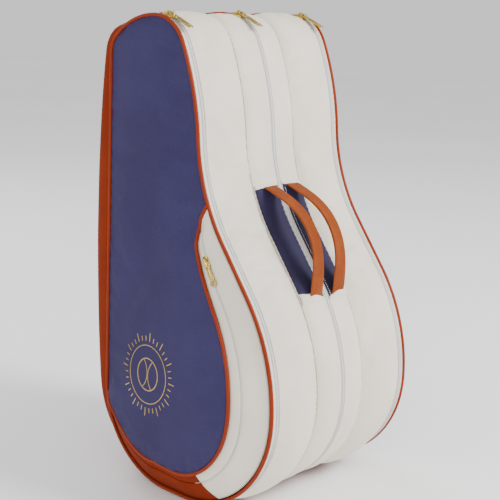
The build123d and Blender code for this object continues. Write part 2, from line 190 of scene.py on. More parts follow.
def extend(bm, vert, seg, share, end, count):
    """Spins or extrudes one vertex along part of a step; returns the new vertices in order."""
    y, z, heading, radius, amount = LINE[seg]
    before = len(bm.verts)
    if radius is None:
        reach = (station(seg, end)[0] - station(seg, share)[0]) / count
        for _ in range(count):
            made = bmesh.ops.extrude_vert_indiv(bm, verts=[vert])["verts"]
            vert = made[0]
            vert.co += reach
    else:
        a = math.radians(heading + (90 if amount > 0 else -90))
        hub = Vector((vert.co.x, y + radius * math.cos(a), z + radius * math.sin(a)))
        turn = math.radians(amount * (end - share))
        bmesh.ops.spin(bm, geom=[vert], cent=hub, axis=(1, 0, 0), angle=turn, steps=count)
    bm.verts.ensure_lookup_table()
    return [bm.verts[i] for i in range(before, len(bm.verts))]


# %% [markdown]
# Small tools used by every piece: turning a bmesh into an object, smoothing its shading, pulling a
# row of edges sideways into a band, and a repeatable gentle noise, because cloth is never flat.

# %% Shared tools
def to_object(bm, name):
    mesh = bpy.data.meshes.new(name)
    bm.to_mesh(mesh)
    bm.free()
    mesh.polygons.foreach_set("use_smooth", [True] * len(mesh.polygons))
    piece = bpy.data.objects.new(name, mesh)
    bpy.context.scene.collection.objects.link(piece)
    return piece


def ripple(point, size, seed=0.0):
    """Smooth noise between about -1 and 1 with features of a given size."""
    return noise.noise(point / size + Vector((seed, seed * 0.7, -seed)))


def ease(t):
    t = min(1.0, max(0.0, t))
    return t * t * (3 - 2 * t)


def pull_rows(bm, row, xs):
    """Extrudes a drawn line sideways through a list of x positions."""
    edges = [edge for edge in bm.edges if all(v in set(row) for v in edge.verts)]
    for before, x in zip(xs, xs[1:]):
        made = bmesh.ops.extrude_edge_only(bm, edges=edges)["geom"]
        verts = [item for item in made if isinstance(item, bmesh.types.BMVert)]
        edges = [item for item in made if isinstance(item, bmesh.types.BMEdge)]
        bmesh.ops.translate(bm, verts=verts, vec=(x - before, 0, 0))


def band(name, xs, start, stop, height, grain=GRAIN):
    """A strip of cloth round the pattern line; height(x, along, point) pads it outwards."""
    bm = bmesh.new()
    row = draw_line(bm, xs[0], start, stop, grain=grain)
    pull_rows(bm, row, xs)
    along, out_y, out_z = marks(bm)
    for vert in bm.verts:
        rise = height(vert.co.x, vert[along], vert.co)
        vert.co += Vector((0, vert[out_y], vert[out_z])) * rise
    bmesh.ops.recalc_face_normals(bm, faces=bm.faces)
    face_outwards(bm)
    return to_object(bm, name)


def join_rows(bm, last, row):
    """Faces between two rows of vertices; the first row has none before it."""
    if last:
        for i in range(len(row) - 1):
            bm.faces.new((last[i], last[i + 1], row[i + 1], row[i]))


def join_rings(bm, last, ring):
    """Faces between two closed rings of vertices; the first ring has none before it."""
    if last:
        for i in range(len(ring)):
            n = (i + 1) % len(ring)
            bm.faces.new((last[i], last[n], ring[n], ring[i]))


def face_outwards(bm):
    """Turns an open strip's faces the way its vertices remember."""
    _, out_y, out_z = marks(bm)
    face = bm.faces[:][len(bm.faces) // 2]
    vert = face.verts[0]
    if face.normal.dot(Vector((0, vert[out_y], vert[out_z]))) < 0:
        bmesh.ops.reverse_faces(bm, faces=bm.faces)


def thicken(piece, thickness):
    """Gives a strip its cloth's thickness, inwards."""
    wall = piece.modifiers.new("cloth thickness", "SOLIDIFY")
    wall.thickness = thickness
    wall.offset = -1.0


def spread(low, high, count, crowd=0.0):
    """Positions from low to high, crowded towards both ends by a share."""
    made = []
    for i in range(count + 1):
        t = i / count
        made.append(low + (high - low) * (t * (1 - crowd) + crowd * ease(t)))
    return made


# %% [markdown]
# Padded panels are settled by the cloth solver. Their sewn borders are pinned, the cloth is cut a
# little larger than its place, and air pressure stands in for the foam, so that the spare cloth
# gathers at the seams. The result is written into the mesh, and no panel may move more than a cap.

# %% Settle padded cloth
SETTLE_FRAMES = 16


def settle(piece, pressure=2.0, spare=0.012, cap=5 * MM):
    """Runs the cloth solver on a strip of padded cloth and keeps its last shape."""
    scene = bpy.context.scene
    mesh = piece.data
    sewn = piece.vertex_groups.new(name="sewn")
    bm = bmesh.new()
    bm.from_mesh(mesh)
    sewn.add([v.index for v in bm.verts if v.is_boundary], 1.0, "REPLACE")
    bm.free()
    solver = piece.modifiers.new("padding", "CLOTH")
    facts = solver.settings
    facts.quality, facts.mass = 6, 0.3
    facts.tension_stiffness = facts.compression_stiffness = 25
    facts.shear_stiffness, facts.bending_stiffness = 8, 1.5
    facts.vertex_group_mass = "sewn"
    facts.use_pressure, facts.uniform_pressure_force = True, pressure
    facts.shrink_min = -spare
    facts.effector_weights.gravity = 0
    solver.point_cache.frame_start, solver.point_cache.frame_end = 1, SETTLE_FRAMES
    for frame_number in range(1, SETTLE_FRAMES + 1):
        scene.frame_set(frame_number)
    shaped = piece.evaluated_get(bpy.context.evaluated_depsgraph_get()).to_mesh()
    for vert, moved in zip(mesh.vertices, shaped.vertices):
        step = moved.co - vert.co
        vert.co += step.normalized() * min(step.length, cap)
    piece.evaluated_get(bpy.context.evaluated_depsgraph_get()).to_mesh_clear()
    piece.modifiers.remove(solver)
    piece.vertex_groups.remove(sewn)
    scene.frame_set(1)
    return piece


# %% [markdown]
# Materials come next. One function adds a node with its settings and links, and one turns a hex
# colour to linear. A woven cloth gets a weave whose pitch is a real thread spacing, drawn coarse
# enough to show, and a coated one gets a pebble of a real grain width. Both have a slow change of
# tone and a bump.

# %% Material tools
def linear(hex_colour):
    """sRGB hex to linear RGBA."""
    parts = [int(hex_colour[i:i + 2], 16) / 255 for i in (1, 3, 5)]
    return [c / 12.92 if c <= 0.04045 else ((c + 0.055) / 1.055) ** 2.4 for c in parts] + [1.0]


def add(tree, kind, settings=(), links=()):
    """Adds a node: settings are attribute or input values, links are (input, output socket)."""
    node = tree.nodes.new(kind)
    for key, value in dict(settings).items():
        if isinstance(key, str) and hasattr(node, key):
            setattr(node, key, value)
        else:
            node.inputs[key].default_value = value
    for key, socket in dict(links).items():
        tree.links.new(node.inputs[key], socket)
    return node


def new_material(name):
    """An empty node material; returns it, its tree and its Object coordinates in metres."""
    material = bpy.data.materials.new(name)
    material.use_nodes = True
    tree = material.node_tree
    tree.nodes.clear()
    place = add(tree, "ShaderNodeTexCoord").outputs["Object"]
    return material, tree, place


def finish_material(tree, surface):
    add(tree, "ShaderNodeOutputMaterial", links={"Surface": surface.outputs[0]})


def toned(tree, place, dark, light, scale, detail=3.0):
    """A slow drift between two tones of one colour."""
    drift = add(tree, "ShaderNodeTexNoise", {"Scale": scale, "Detail": detail}, {"Vector": place})
    ramp = add(tree, "ShaderNodeValToRGB", links={"Fac": drift.outputs["Fac"]})
    ramp.color_ramp.elements[0].position = 0.35
    ramp.color_ramp.elements[1].position = 0.65
    ramp.color_ramp.elements[0].color = linear(dark)
    ramp.color_ramp.elements[1].color = linear(light)
    return ramp.outputs["Color"]


WAVE_FACTOR = 20  # a wave texture multiplies its scale by this


def threads(tree, place, pitch, across, along):
    """A plain weave from two crossed bands of thread; returns its height."""
    waves = []
    for axis in (across, along):
        bands = add(tree, "ShaderNodeTexWave",
                    {"wave_type": "BANDS", "bands_direction": axis,
                     "Scale": 2 * math.pi / (pitch * WAVE_FACTOR),
                     "Distortion": 0.6, "Detail": 2.0, "Detail Scale": 4.0}, {"Vector": place})
        waves.append(bands.outputs["Fac"])
    mixed = add(tree, "ShaderNodeMath", {"operation": "MULTIPLY"}, {0: waves[0], 1: waves[1]})
    return mixed.outputs[0]


def cloth(name, dark, light, pitch, axes=("Y", "Z"), roughness=0.8, bump=0.25, sheen=0.02,
          drift=9.0, shade=0.12):
    """Woven cloth: toned threads, a darker groove between them, and a bump of the same weave."""
    material, tree, place = new_material(name)
    tone = toned(tree, place, dark, light, drift)
    weave = threads(tree, place, pitch, *axes)
    grain = add(tree, "ShaderNodeTexNoise", {"Scale": 0.5 / pitch, "Detail": 4.0},
                {"Vector": place})
    # Mixed yarns leave flecks about 3 mm wide, a fifth lighter or darker than the cloth.
    fleck = add(tree, "ShaderNodeTexNoise", {"Scale": 320.0, "Detail": 2.0}, {"Vector": place})
    heather = add(tree, "ShaderNodeMapRange", {"To Min": 0.8, "To Max": 1.2},
                  {"Value": fleck.outputs["Fac"]})
    tone = add(tree, "ShaderNodeVectorMath", {"operation": "SCALE"},
               {0: tone, "Scale": heather.outputs[0]}).outputs[0]
    deep = add(tree, "ShaderNodeMix", {"data_type": "RGBA", "blend_type": "MULTIPLY", 0: shade},
               {6: tone, 7: add(tree, "ShaderNodeCombineColor", links={
                   0: weave, 1: weave, 2: weave}).outputs[0]})
    height = add(tree, "ShaderNodeMath", {"operation": "MULTIPLY_ADD", 1: 0.5},
                 {0: grain.outputs["Fac"], 2: weave})
    lump = add(tree, "ShaderNodeBump", {"Strength": bump, "Distance": pitch * 0.3},
               {"Height": height.outputs[0]})
    surface = add(tree, "ShaderNodeBsdfPrincipled",
                  {"Roughness": roughness, "Sheen Weight": sheen, "Sheen Roughness": 0.5,
                   "Specular IOR Level": 0.22},
                  {"Base Color": deep.outputs[2], "Normal": lump.outputs[0]})
    finish_material(tree, surface)
    return material


def coated(name, dark, light, grain_width, roughness=0.45, bump=0.2, coat=0.0, shine=0.3):
    """Coated cloth with a fine pebble: cells of a real width, lightly bumped."""
    material, tree, place = new_material(name)
    tone = toned(tree, place, dark, light, 14.0)
    pebble = add(tree, "ShaderNodeTexVoronoi", {"Scale": 1 / grain_width, "feature": "F1"},
                 {"Vector": place})
    fine = add(tree, "ShaderNodeTexNoise", {"Scale": 0.6 / grain_width, "Detail": 5.0},
               {"Vector": place})
    height = add(tree, "ShaderNodeMath", {"operation": "MULTIPLY_ADD", 1: 0.6},
                 {0: fine.outputs["Fac"], 2: pebble.outputs["Distance"]})
    lump = add(tree, "ShaderNodeBump", {"Strength": bump, "Distance": grain_width * 0.3},
               {"Height": height.outputs[0]})
    surface = add(tree, "ShaderNodeBsdfPrincipled",
                  {"Roughness": roughness, "Coat Weight": coat, "Coat Roughness": 0.3,
                   "Specular IOR Level": shine},
                  {"Base Color": tone, "Normal": lump.outputs[0]})
    finish_material(tree, surface)
    return material


# %% [markdown]
# The shell is a cream coated canvas with a soft, dry face. The spine and base are the same cloth in
# a deep rust. The sides are a finely woven navy canvas. The piping is smooth coated cloth over a
# cord, so it takes a brighter light. The handles are ribbed webbing.

# %% Cloths of this bag
CREAM = coated("cream coated canvas", "#DFD6C6", "#E6DECF", 0.7 * MM, roughness=0.62, bump=0.14)
RUST = coated("rust coated canvas", "#762201", "#7E2803", 0.8 * MM, roughness=0.6, bump=0.2,
              shine=0.08)
NAVY = cloth("navy canvas", "#362F5A", "#3C3561", 0.9 * MM, roughness=0.78, bump=0.35, shade=0.3)
PIPING = coated("rust piping cover", "#7E2501", "#882C04", 0.5 * MM, roughness=0.42, bump=0.08,
                shine=0.16)
WEBBING = cloth("rust cotton webbing", "#A04812", "#AE5318", 1.6 * MM, axes=("X", "Z"),
                roughness=0.85, bump=0.9, shade=0.5, drift=25.0)
PATCH = coated("navy coated patch", "#1D1936", "#262042", 0.6 * MM, roughness=0.75, bump=0.12)
TAPE = cloth("zip tape twill", "#D4D4D2", "#DEDEDC", 0.6 * MM, roughness=0.75, bump=0.3)
COIL = coated("nylon zip coil", "#BDBDBC", "#C9C9C8", 0.4 * MM, roughness=0.4, bump=0.05)
STITCH = cloth("stitching thread", "#D9D5CC", "#E6E3DA", 0.3 * MM, roughness=0.7)
STRAP_CLOTH = cloth("navy strap mesh", "#211F3B", "#282546", 1.2 * MM, roughness=0.9, bump=0.6,
                    shade=0.4)
BOARD = cloth("dark lining cloth", "#2A2A30", "#34343B", 0.8 * MM, roughness=0.9)


def plated_gold():
    """Pale gold plate over die-cast zinc: polished, with faint casting waves and a slow change of tone."""
    material, tree, place = new_material("pale gold plate")
    tone = toned(tree, place, "#B8983A", "#DCC36A", 160.0)
    wave = add(tree, "ShaderNodeTexNoise", {"Scale": 260.0, "Detail": 2.0}, {"Vector": place})
    lump = add(tree, "ShaderNodeBump", {"Strength": 0.08, "Distance": 0.2 * MM},
               {"Height": wave.outputs["Fac"]})
    surface = add(tree, "ShaderNodeBsdfPrincipled", {"Metallic": 1.0, "Roughness": 0.16},
                  {"Base Color": tone, "Normal": lump.outputs[0]})
    finish_material(tree, surface)
    return material


def moulded_plastic():
    """Black acetal, moulded: a faint orange-peel skin and a satin shine."""
    material, tree, place = new_material("moulded black acetal")
    tone = toned(tree, place, "#141417", "#1C1C20", 60.0)
    peel = add(tree, "ShaderNodeTexNoise", {"Scale": 900.0, "Detail": 2.0}, {"Vector": place})
    lump = add(tree, "ShaderNodeBump", {"Strength": 0.1, "Distance": 0.1 * MM},
               {"Height": peel.outputs["Fac"]})
    surface = add(tree, "ShaderNodeBsdfPrincipled", {"Roughness": 0.4},
                  {"Base Color": tone, "Normal": lump.outputs[0]})
    finish_material(tree, surface)
    return material


GOLD = plated_gold()
PLASTIC = moulded_plastic()


def dress(piece, material, slot, body, *nodes):
    """Gives a finished piece its material and body, and hides the nodes that it stands for; slot is not
    used.
    """
    piece.data.materials.clear()
    piece.data.materials.append(material)
    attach(piece, body)
    if nodes:
        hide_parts(*nodes)
    return piece


# %% [markdown]
# ## The shell
# Each compartment's front is one long panel of padded canvas. It is sewn down along both edges, so
# it sinks into the seams and swells between them, most where the rackets' heads push it out.

# %% Where the seams run
LID_X = 153 * MM  # side zips
SEAM_X = 56 * MM  # seams between compartments
PIPE_X = 165 * MM  # side piping
PIPE_R = 2.9 * MM
TAPE_HALF = 5 * MM
CLOTH = 2.4 * MM
TOP_EDGE, FRONT_EDGE = (TOP_BACK, 0.88), (TOE, 0.70)
ZIP_TOP, ZIP_FOOT = (NOSE, 0.12), (TOE, 0.69)
HEAD_MIDDLE = line_position(HEAD, 1.0)
SIDES = {"left": -1, "right": 1}


def swell(along):
    """How full the bag is along the line: full at the head, flatter at the neck and nose."""
    fullness = math.exp(-((along - HEAD_MIDDLE) / (260 * MM)) ** 2)
    return 0.55 + 0.45 * fullness


def pillow(x, low, high, crown, inner, outer, edge=5.5 * MM):
    """Section of a panel that is crowned between its sewn edges.

    It sinks by inner at the edge nearer the middle of the bag, and by outer at the other.
    """
    t = (x - low) / (high - low)
    bow = crown * (1 - (2 * t - 1) ** 2)
    near, far = sorted((abs(low), abs(high)))
    from_inner, from_outer = min(max(abs(x), near), far) - near, far - abs(x)
    if low * high < 0:
        from_inner, from_outer = x - low, high - x
    sink = inner * math.exp(-max(0.0, from_inner) / edge)
    return bow - sink - outer * math.exp(-max(0.0, from_outer) / edge)


def pucker(along, near, depth=0.5 * MM, pitch=9 * MM):
    """Small gathers that a row of stitches pulls into the cloth beside it."""
    fade = math.exp(-near / (9 * MM))
    drift = 3 * ripple(Vector((along, 0, 0)), 0.05)
    return depth * fade * math.sin(2 * math.pi * along / pitch + drift)


def panel_height(low, high, crown, inner, outer, seed):
    """Height function of a padded panel between two seams, with folds and puckers."""
    def height(x, along, point):
        near = min(x - low, high - x)
        fold = 1.4 * MM * ripple(Vector((x * 1.6, along, 0)), 0.085, seed)
        fold += 0.5 * MM * ripple(Vector((x * 2, along, 0)), 0.03, seed + 4)
        inside = ease(near / (12 * MM))
        return (pillow(x, low, high, crown * swell(along), inner, outer) + fold * inside
                + pucker(along, near))
    return height


def front_panels(side, k):
    """The wide panel between the side zip and the compartment seam."""
    low, high = sorted((k * (LID_X - TAPE_HALF + 0.4 * MM), k * (SEAM_X + 0.2 * MM)))
    height = panel_height(low, high, 8.5 * MM, 4.4 * MM, -0.8 * MM, 3.0 + k)
    piece = band(f"{side}_front_skin", spread(low, high, 26, 0.75), TOP_EDGE, FRONT_EDGE, height)
    settle(piece)
    thicken(piece, CLOTH)
    return dress(piece, CREAM, "cream_canvas", f"{side}_compartment", f"{side}_front_panel")


for side, k in SIDES.items():
    print(front_panels(side, k).name)


# %% [markdown]
# The middle panels between the seams are narrower, so they crown less. Where the two halves of the
# bag meet, the centre zip sits on a low ridge. The rust cloth behind and under the bag is one long
# piece per compartment: it starts at the front of the base, passes under it and runs up the spine,
# which is padded and bulges well past the sides.

# %% Middle panels
MIDDLE_ZIP = 5.1 * MM


def zip_ridge(x):
    """The low ridge that the centre zip sits on."""
    return 2.2 * MM * math.exp(-(x / (13 * MM)) ** 2)


def middle_height(k):
    low, high = sorted((k * SEAM_X, k * MIDDLE_ZIP))
    plain = panel_height(low, high, 5.5 * MM, -0.6 * MM, 4.4 * MM, 9.0 + k)
    return lambda x, along, point: plain(x, along, point) + zip_ridge(x)


def middle_panels(side, k):
    low, high = sorted((k * (SEAM_X - 0.2 * MM), k * MIDDLE_ZIP))
    piece = band(f"{side}_middle_skin", spread(low, high, 16, 0.7), TOP_EDGE, FRONT_EDGE,
                 middle_height(k))
    thicken(piece, CLOTH)
    return dress(piece, CREAM, "cream_canvas", f"{side}_compartment", f"{side}_middle_panel")


for side, k in SIDES.items():
    print(middle_panels(side, k).name)

# %% Spine and base
SPINE_BULGE = 47 * MM
SPINE_SETTLE = dict(pressure=1.5, spare=0.008, cap=3 * MM)
BULGE_FROM = line_position(HEEL, 0.62)
BULGE_TO = line_position(TOP_BACK, 0.25)


def spine_bulge(x, along):
    """How far the padded spine stands out: a long lens, nearly flat across, round at its edges."""
    u = (along - BULGE_FROM) / (BULGE_TO - BULGE_FROM)
    if not 0 < u < 1:
        return 0.0
    across = (1 - min(1.0, abs(x) / (PIPE_X - 0.2 * MM)) ** 14) ** 0.3
    return SPINE_BULGE * math.sin(math.pi * u) ** 0.42 * across


def spine_height(low, high, seed, crown=5.0 * MM, inner=2.4 * MM, outer=2.4 * MM):
    """Height of the rust cloth between two seams: bulge, pillow and folds, but a flat base."""
    def height(x, along, point):
        near = min(x - low, high - x)
        fold = 1.2 * MM * ripple(Vector((x, along, 0)), 0.07, seed)
        loose = ease((point.z - 12 * MM) / (60 * MM))
        pad = pillow(x, low, high, crown, inner, outer) + fold * ease(near / (12 * MM))
        pad += pucker(along, near, 0.3 * MM)
        return spine_bulge(x, along) + pad * loose - 1.0 * MM * (1 - loose)
    return height


def spine_pieces():
    """Five strips of rust cloth: an edge strip and a panel a side, and one in the middle."""
    for side, k in SIDES.items():
        low, high = sorted((k * (LID_X - 0.1 * MM), k * (SEAM_X + 0.2 * MM)))
        piece = band(f"{side}_spine_skin", spread(low, high, 26, 0.7), FRONT_EDGE, TOP_EDGE,
                     spine_height(low, high, 20.0 + k, outer=0.3 * MM))
        settle(piece, **SPINE_SETTLE)
        thicken(piece, CLOTH)
        dress(piece, RUST, "spine_fabric", f"{side}_compartment", f"{side}_spine_panel",
              f"{side}_back_pad")
        width = PIPE_X - LID_X - 0.3 * MM
        xs = [k * (PIPE_X - 0.2 * MM - width * (i / 16) ** 2) for i in range(17)]
        low, high = sorted((xs[0], xs[-1]))
        piece = band(f"{side}_edge_spine_skin", xs, FRONT_EDGE, TOP_EDGE,
                     spine_height(low, high, 30.0 + k, 0.2 * MM, 0.3 * MM, 0.0))
        thicken(piece, CLOTH)
        dress(piece, RUST, "spine_fabric", f"{side}_side_lid", f"{side}_edge_spine")
    half = SEAM_X - 0.2 * MM
    piece = band("centre_spine_skin", spread(-half, half, 24, 0.7), FRONT_EDGE, TOP_EDGE,
                 spine_height(-half, half, 40.0))
    settle(piece, **SPINE_SETTLE)
    thicken(piece, CLOTH)
    dress(piece, RUST, "spine_fabric", "spine", "spine_centre_panel", "back_centre_pad")
    return 5


print("spine pieces", spine_pieces())

# %% [markdown]
# Beside each side zip runs a narrow strip of the cream cloth, part of the side lid. The zips are
# coil zips: a woven tape on each side, and a nylon coil whose turns mesh in the middle. The coil is
# a half-round bead here with a wave of one tooth per turn along it, 2.4 mm apart as on a heavy
# coil.

# %% Edge strips and zips
COIL_PITCH = 2.4 * MM
COIL_HALF = 1.6 * MM
COIL_HIGH = 1.5 * MM


def edge_strips(side, k):
    low, high = sorted((k * (PIPE_X - 2.5 * MM), k * (LID_X + TAPE_HALF - 0.4 * MM)))

    def height(x, along, point):
        near = abs(x) - (LID_X + TAPE_HALF)
        return 0.9 * MM * math.exp(-max(0.0, near) / (2.2 * MM)) + pucker(along, near, 0.3 * MM)

    piece = band(f"{side}_edge_strip_skin", spread(low, high, 8), TOP_EDGE, FRONT_EDGE, height)
    thicken(piece, CLOTH)
    return dress(piece, CREAM, "cream_canvas", f"{side}_side_lid", f"{side}_edge_strip")


def zip_half(name, split, k, body, node, lift=0.0):
    """Half a zip whose tape goes from the split towards k: the tape, then its coil."""
    reach = split + k * TAPE_HALF
    low, high = sorted((split + k * 0.02 * MM, reach + k * 1.5 * MM))

    def tape_height(x, along, point):
        return lift - 0.5 * MM + 0.12 * MM * ripple(Vector((x, along, 0)), 0.012)

    tape = band(f"{name}_tape", spread(low, high, 5), ZIP_TOP, ZIP_FOOT, tape_height)
    thicken(tape, 0.8 * MM)
    dress(tape, TAPE, "zip", body, node)

    def coil_height(x, along, point):
        t = abs(x - split) / COIL_HALF
        wave = 0.28 * MM * math.sin(2 * math.pi * along / COIL_PITCH)
        return lift - 0.4 * MM + COIL_HIGH * math.sqrt(max(0.0, 1 - t * t)) + wave * (1 - t * t)

    low, high = sorted((split + k * 0.04 * MM, split + k * COIL_HALF))
    coil = band(f"{name}_coil", spread(low, high, 4), ZIP_TOP, ZIP_FOOT, coil_height,
                grain=COIL_PITCH / 4)
    return dress(coil, COIL, "zip", body)


for side, k in SIDES.items():
    edge_strips(side, k)
    zip_half(f"{side}_inner_zip", k * LID_X, -k, f"{side}_compartment", f"{side}_zip_inner")
    zip_half(f"{side}_outer_zip", k * LID_X, k, f"{side}_side_lid", f"{side}_zip_outer")
    zip_half(f"{side}_middle_zip", 0.0, k, f"{side}_compartment", f"{side}_centre_zip",
             lift=zip_ridge(0) - 0.3 * MM)
print("zips", 6)

# %% [markdown]
# ## Piping
# Piping is a cord wrapped in a strip of coated cloth and sewn into the seam round each side. A
# curve with a round bevel gives the tube; turning it into a mesh lets the wrapping's slight
# unevenness be pressed into it.

# %% Tubes along a line
def line_points(x, start, stop, out=0.0, grain=GRAIN):
    """The points of a drawn stretch of the pattern line, without its mesh."""
    bm = bmesh.new()
    points = [vert.co.copy() for vert in draw_line(bm, x, start, stop, out, grain)]
    bm.free()
    return points


def tube(name, points, radius, cyclic=False, uneven=0.0, sides=3):
    """A round tube along points, as a mesh with slightly uneven wrapping."""
    curve = bpy.data.curves.new(name, "CURVE")
    curve.dimensions = "3D"
    curve.bevel_depth, curve.bevel_resolution = radius, sides
    curve.use_fill_caps = not cyclic
    path = curve.splines.new("POLY")
    path.points.add(len(points) - 1)
    path.use_cyclic_u = cyclic
    for spot, point in zip(path.points, points):
        spot.co = (*point, 1.0)
    holder = bpy.data.objects.new(f"{name}_curve", curve)
    bpy.context.scene.collection.objects.link(holder)
    depsgraph = bpy.context.evaluated_depsgraph_get()
    mesh = bpy.data.meshes.new_from_object(holder.evaluated_get(depsgraph))
    bpy.data.objects.remove(holder)
    for vert, normal in zip(mesh.vertices, [v.normal.copy() for v in mesh.vertices]):
        vert.co += normal * uneven * ripple(vert.co, 0.009, 5.0)
    mesh.polygons.foreach_set("use_smooth", [True] * len(mesh.polygons))
    piece = bpy.data.objects.new(name, mesh)
    bpy.context.scene.collection.objects.link(piece)
    return piece


for side, k in SIDES.items():
    ring = line_points(k * PIPE_X, (NOSE, 0.0), (TOP_BACK, 1.0))[:-1]
    piping = tube(f"{side}_side_piping_cord", ring, PIPE_R, cyclic=True, uneven=0.12 * MM, sides=4)
    dress(piping, PIPING, "piping", f"{side}_side_lid", f"{side}_side_piping")
print("piping length", round(LINE_LENGTH, 2))

# %% [markdown]
# ## The side pockets
# The pocket's face starts flush at a slanting fold line and stands further out towards the toe. Its
# rim is drawn in from the side's outline, so the gusset between them slopes. These few functions
# are the pocket's pattern: an inset for the rim, a depth for the face, and the gusset ruled
# between.

# %% Pocket pattern
DEPTH_TOP, DEPTH_TOE = 10 * MM, 48 * MM
RIM_TOP, RIM_TOE, RIM_REACH = 7 * MM, 55 * MM, 34 * MM
FOOT_INSET = 4.5 * MM
POCKET_R = 2.8 * MM
POCKET_HEAD, POCKET_HEEL = (NECK, 0.60), (HEEL, 0.93)
COVER_SHARE = 0.3
fold_a, fold_b = station(*POCKET_HEAD)[0], station(*POCKET_HEEL)[0]
fold_way = (fold_b - fold_a).normalized()
away = Vector((0, fold_way.z, -fold_way.y))
TOE_REACH = (station(TOE, 0.5)[0] - fold_a).dot(away)


def reach_of(point):
    """Distance of a point of the side from the fold, towards the toe."""
    return (Vector((0, point.y, point.z)) - fold_a).dot(away)


def rim_inset(seg, share, reach):
    inset = RIM_TOE - (RIM_TOE - RIM_TOP) * math.exp(-max(0.0, reach) / RIM_REACH)
    return inset * (1 - 0.4 * share) if seg == HEEL else inset


def face_depth(reach):
    """How far the pocket's face stands off the side board at a distance from the fold."""
    slope = (DEPTH_TOE - DEPTH_TOP) * max(0.0, reach) / TOE_REACH
    return DEPTH_TOP * ease(reach / (26 * MM)) + slope


def past_fold(k, distance):
    """The middle of the fold line on a side, moved a distance towards the toe."""
    return (fold_a + fold_b) / 2 + Vector((k * PIPE_X, 0, 0)) + away * distance


def pocket_stations(count):
    """Stations round the pocket from its head to its heel, about evenly spaced."""
    pieces = [(NECK, POCKET_HEAD[1], 1.0), (NECK_STRAIGHT, 0, 1.0), (HEAD, 0, 1.0), (TOE, 0, 1.0),
              (BASE, 0, 1.0), (HEEL, 0, POCKET_HEEL[1])]
    total = sum(step_length(seg) * (b - a) for seg, a, b in pieces)
    made = [(NECK, POCKET_HEAD[1])]
    for seg, a, b in pieces:
        steps = max(2, round(count * step_length(seg) * (b - a) / total))
        made += [(seg, a + (b - a) * (i + 1) / steps) for i in range(steps)]
    return made


def gusset_point(seg, share, t, k, sunk=0.0):
    """Point of the gusset over a station: t is 0 at its foot and 1 at its rim."""
    reach = reach_of(station(seg, share)[0])
    inset = FOOT_INSET + t * (rim_inset(seg, share, reach) - FOOT_INSET)
    spot = station(seg, share, -inset)[0]
    depth = t * max(0.0, face_depth(reach_of(spot)) - 2 * POCKET_R) - sunk
    spot.x = k * (PIPE_X + depth)
    return spot


STATIONS = pocket_stations(230)
print("pocket reach", round(TOE_REACH, 3), "stations", len(STATIONS))


# %% [markdown]
# ## The navy sides
# On each side one piece of navy canvas runs without a break from the nose to the toe. Above the
# fold it lies on the side board, and below it covers the pocket. So it is one skin here, drawn in
# level rows from edge to edge, and it bends at the fold when the pocket opens.

# %% Edge of the navy cloth
def side_edge(runs):
    """Points just inside the side piping, along runs of (step, from, to)."""
    made = []
    for seg, a, b in runs:
        steps = max(6, round(step_length(seg) * (b - a) / (5 * MM)))
        made += [station(seg, a + (b - a) * i / steps, -1.6 * MM)[0] for i in range(steps)]
    return made


def skin_edge():
    """The navy cloth's outline: the side's above the fold, the pocket's rim below."""
    made = side_edge([(TOP_BACK, 0, 1.0), (NOSE, 0, 1.0), (SHOULDER, 0, 1.0),
                      (NECK, 0, POCKET_HEAD[1])])
    for seg, share in STATIONS:
        reach = reach_of(station(seg, share)[0])
        inset = rim_inset(seg, share, reach) * ease(reach / (14 * MM)) + 2.6 * MM
        made.append(station(seg, share, -inset)[0])
    return made + side_edge([(HEEL, POCKET_HEEL[1], 1.0), (SPINE, 0, 1.0), (CORNER, 0, 1.0)])


EDGE = skin_edge()
edge_tree = kdtree.KDTree(len(EDGE))
for number, point in enumerate(EDGE):
    edge_tree.insert(point, number)
edge_tree.balance()
print("edge points", len(EDGE))


def side_depth(point, seed=0.0):
    """How far the navy cloth stands out from the side's plane over a point of the side."""
    flat = Vector((0, point.y, point.z))
    near = edge_tree.find(flat)[2]
    reach = reach_of(flat)
    if reach < 0:
        base = DEPTH_TOP * ease((reach + 55 * MM) / (55 * MM)) ** 2 * ease(near / (45 * MM))
    else:
        full = DEPTH_TOP + (DEPTH_TOE - DEPTH_TOP) * reach / TOE_REACH
        corner = DEPTH_TOP * (1 - ease(reach / (30 * MM))) * (1 - ease(near / (45 * MM)))
        base = full - corner
    puff = 4.5 * MM * (1 - math.exp(-near / (30 * MM)))
    tuck = 1.6 * MM * math.exp(-near / (3.5 * MM))
    fold = 1.1 * MM * ripple(flat, 0.11, seed) * ease(near / (25 * MM))
    return base + puff - tuck + fold + pucker(flat.z + flat.y, near, 0.3 * MM)


def edge_span(z):
    """The edge's lowest and highest y at a height."""
    crossings = []
    for a, b in zip(EDGE, EDGE[1:] + EDGE[:1]):
        if (a.z - z) * (b.z - z) <= 0 and a.z != b.z:
            crossings.append(a.y + (b.y - a.y) * (z - a.z) / (b.z - a.z))
    return min(crossings), max(crossings)


# %% Navy skins
SKINS = {}
SKIN_ROWS, SKIN_COLUMNS = 150, 56
LOW_Z, HIGH_Z = min(p.z for p in EDGE), max(p.z for p in EDGE)


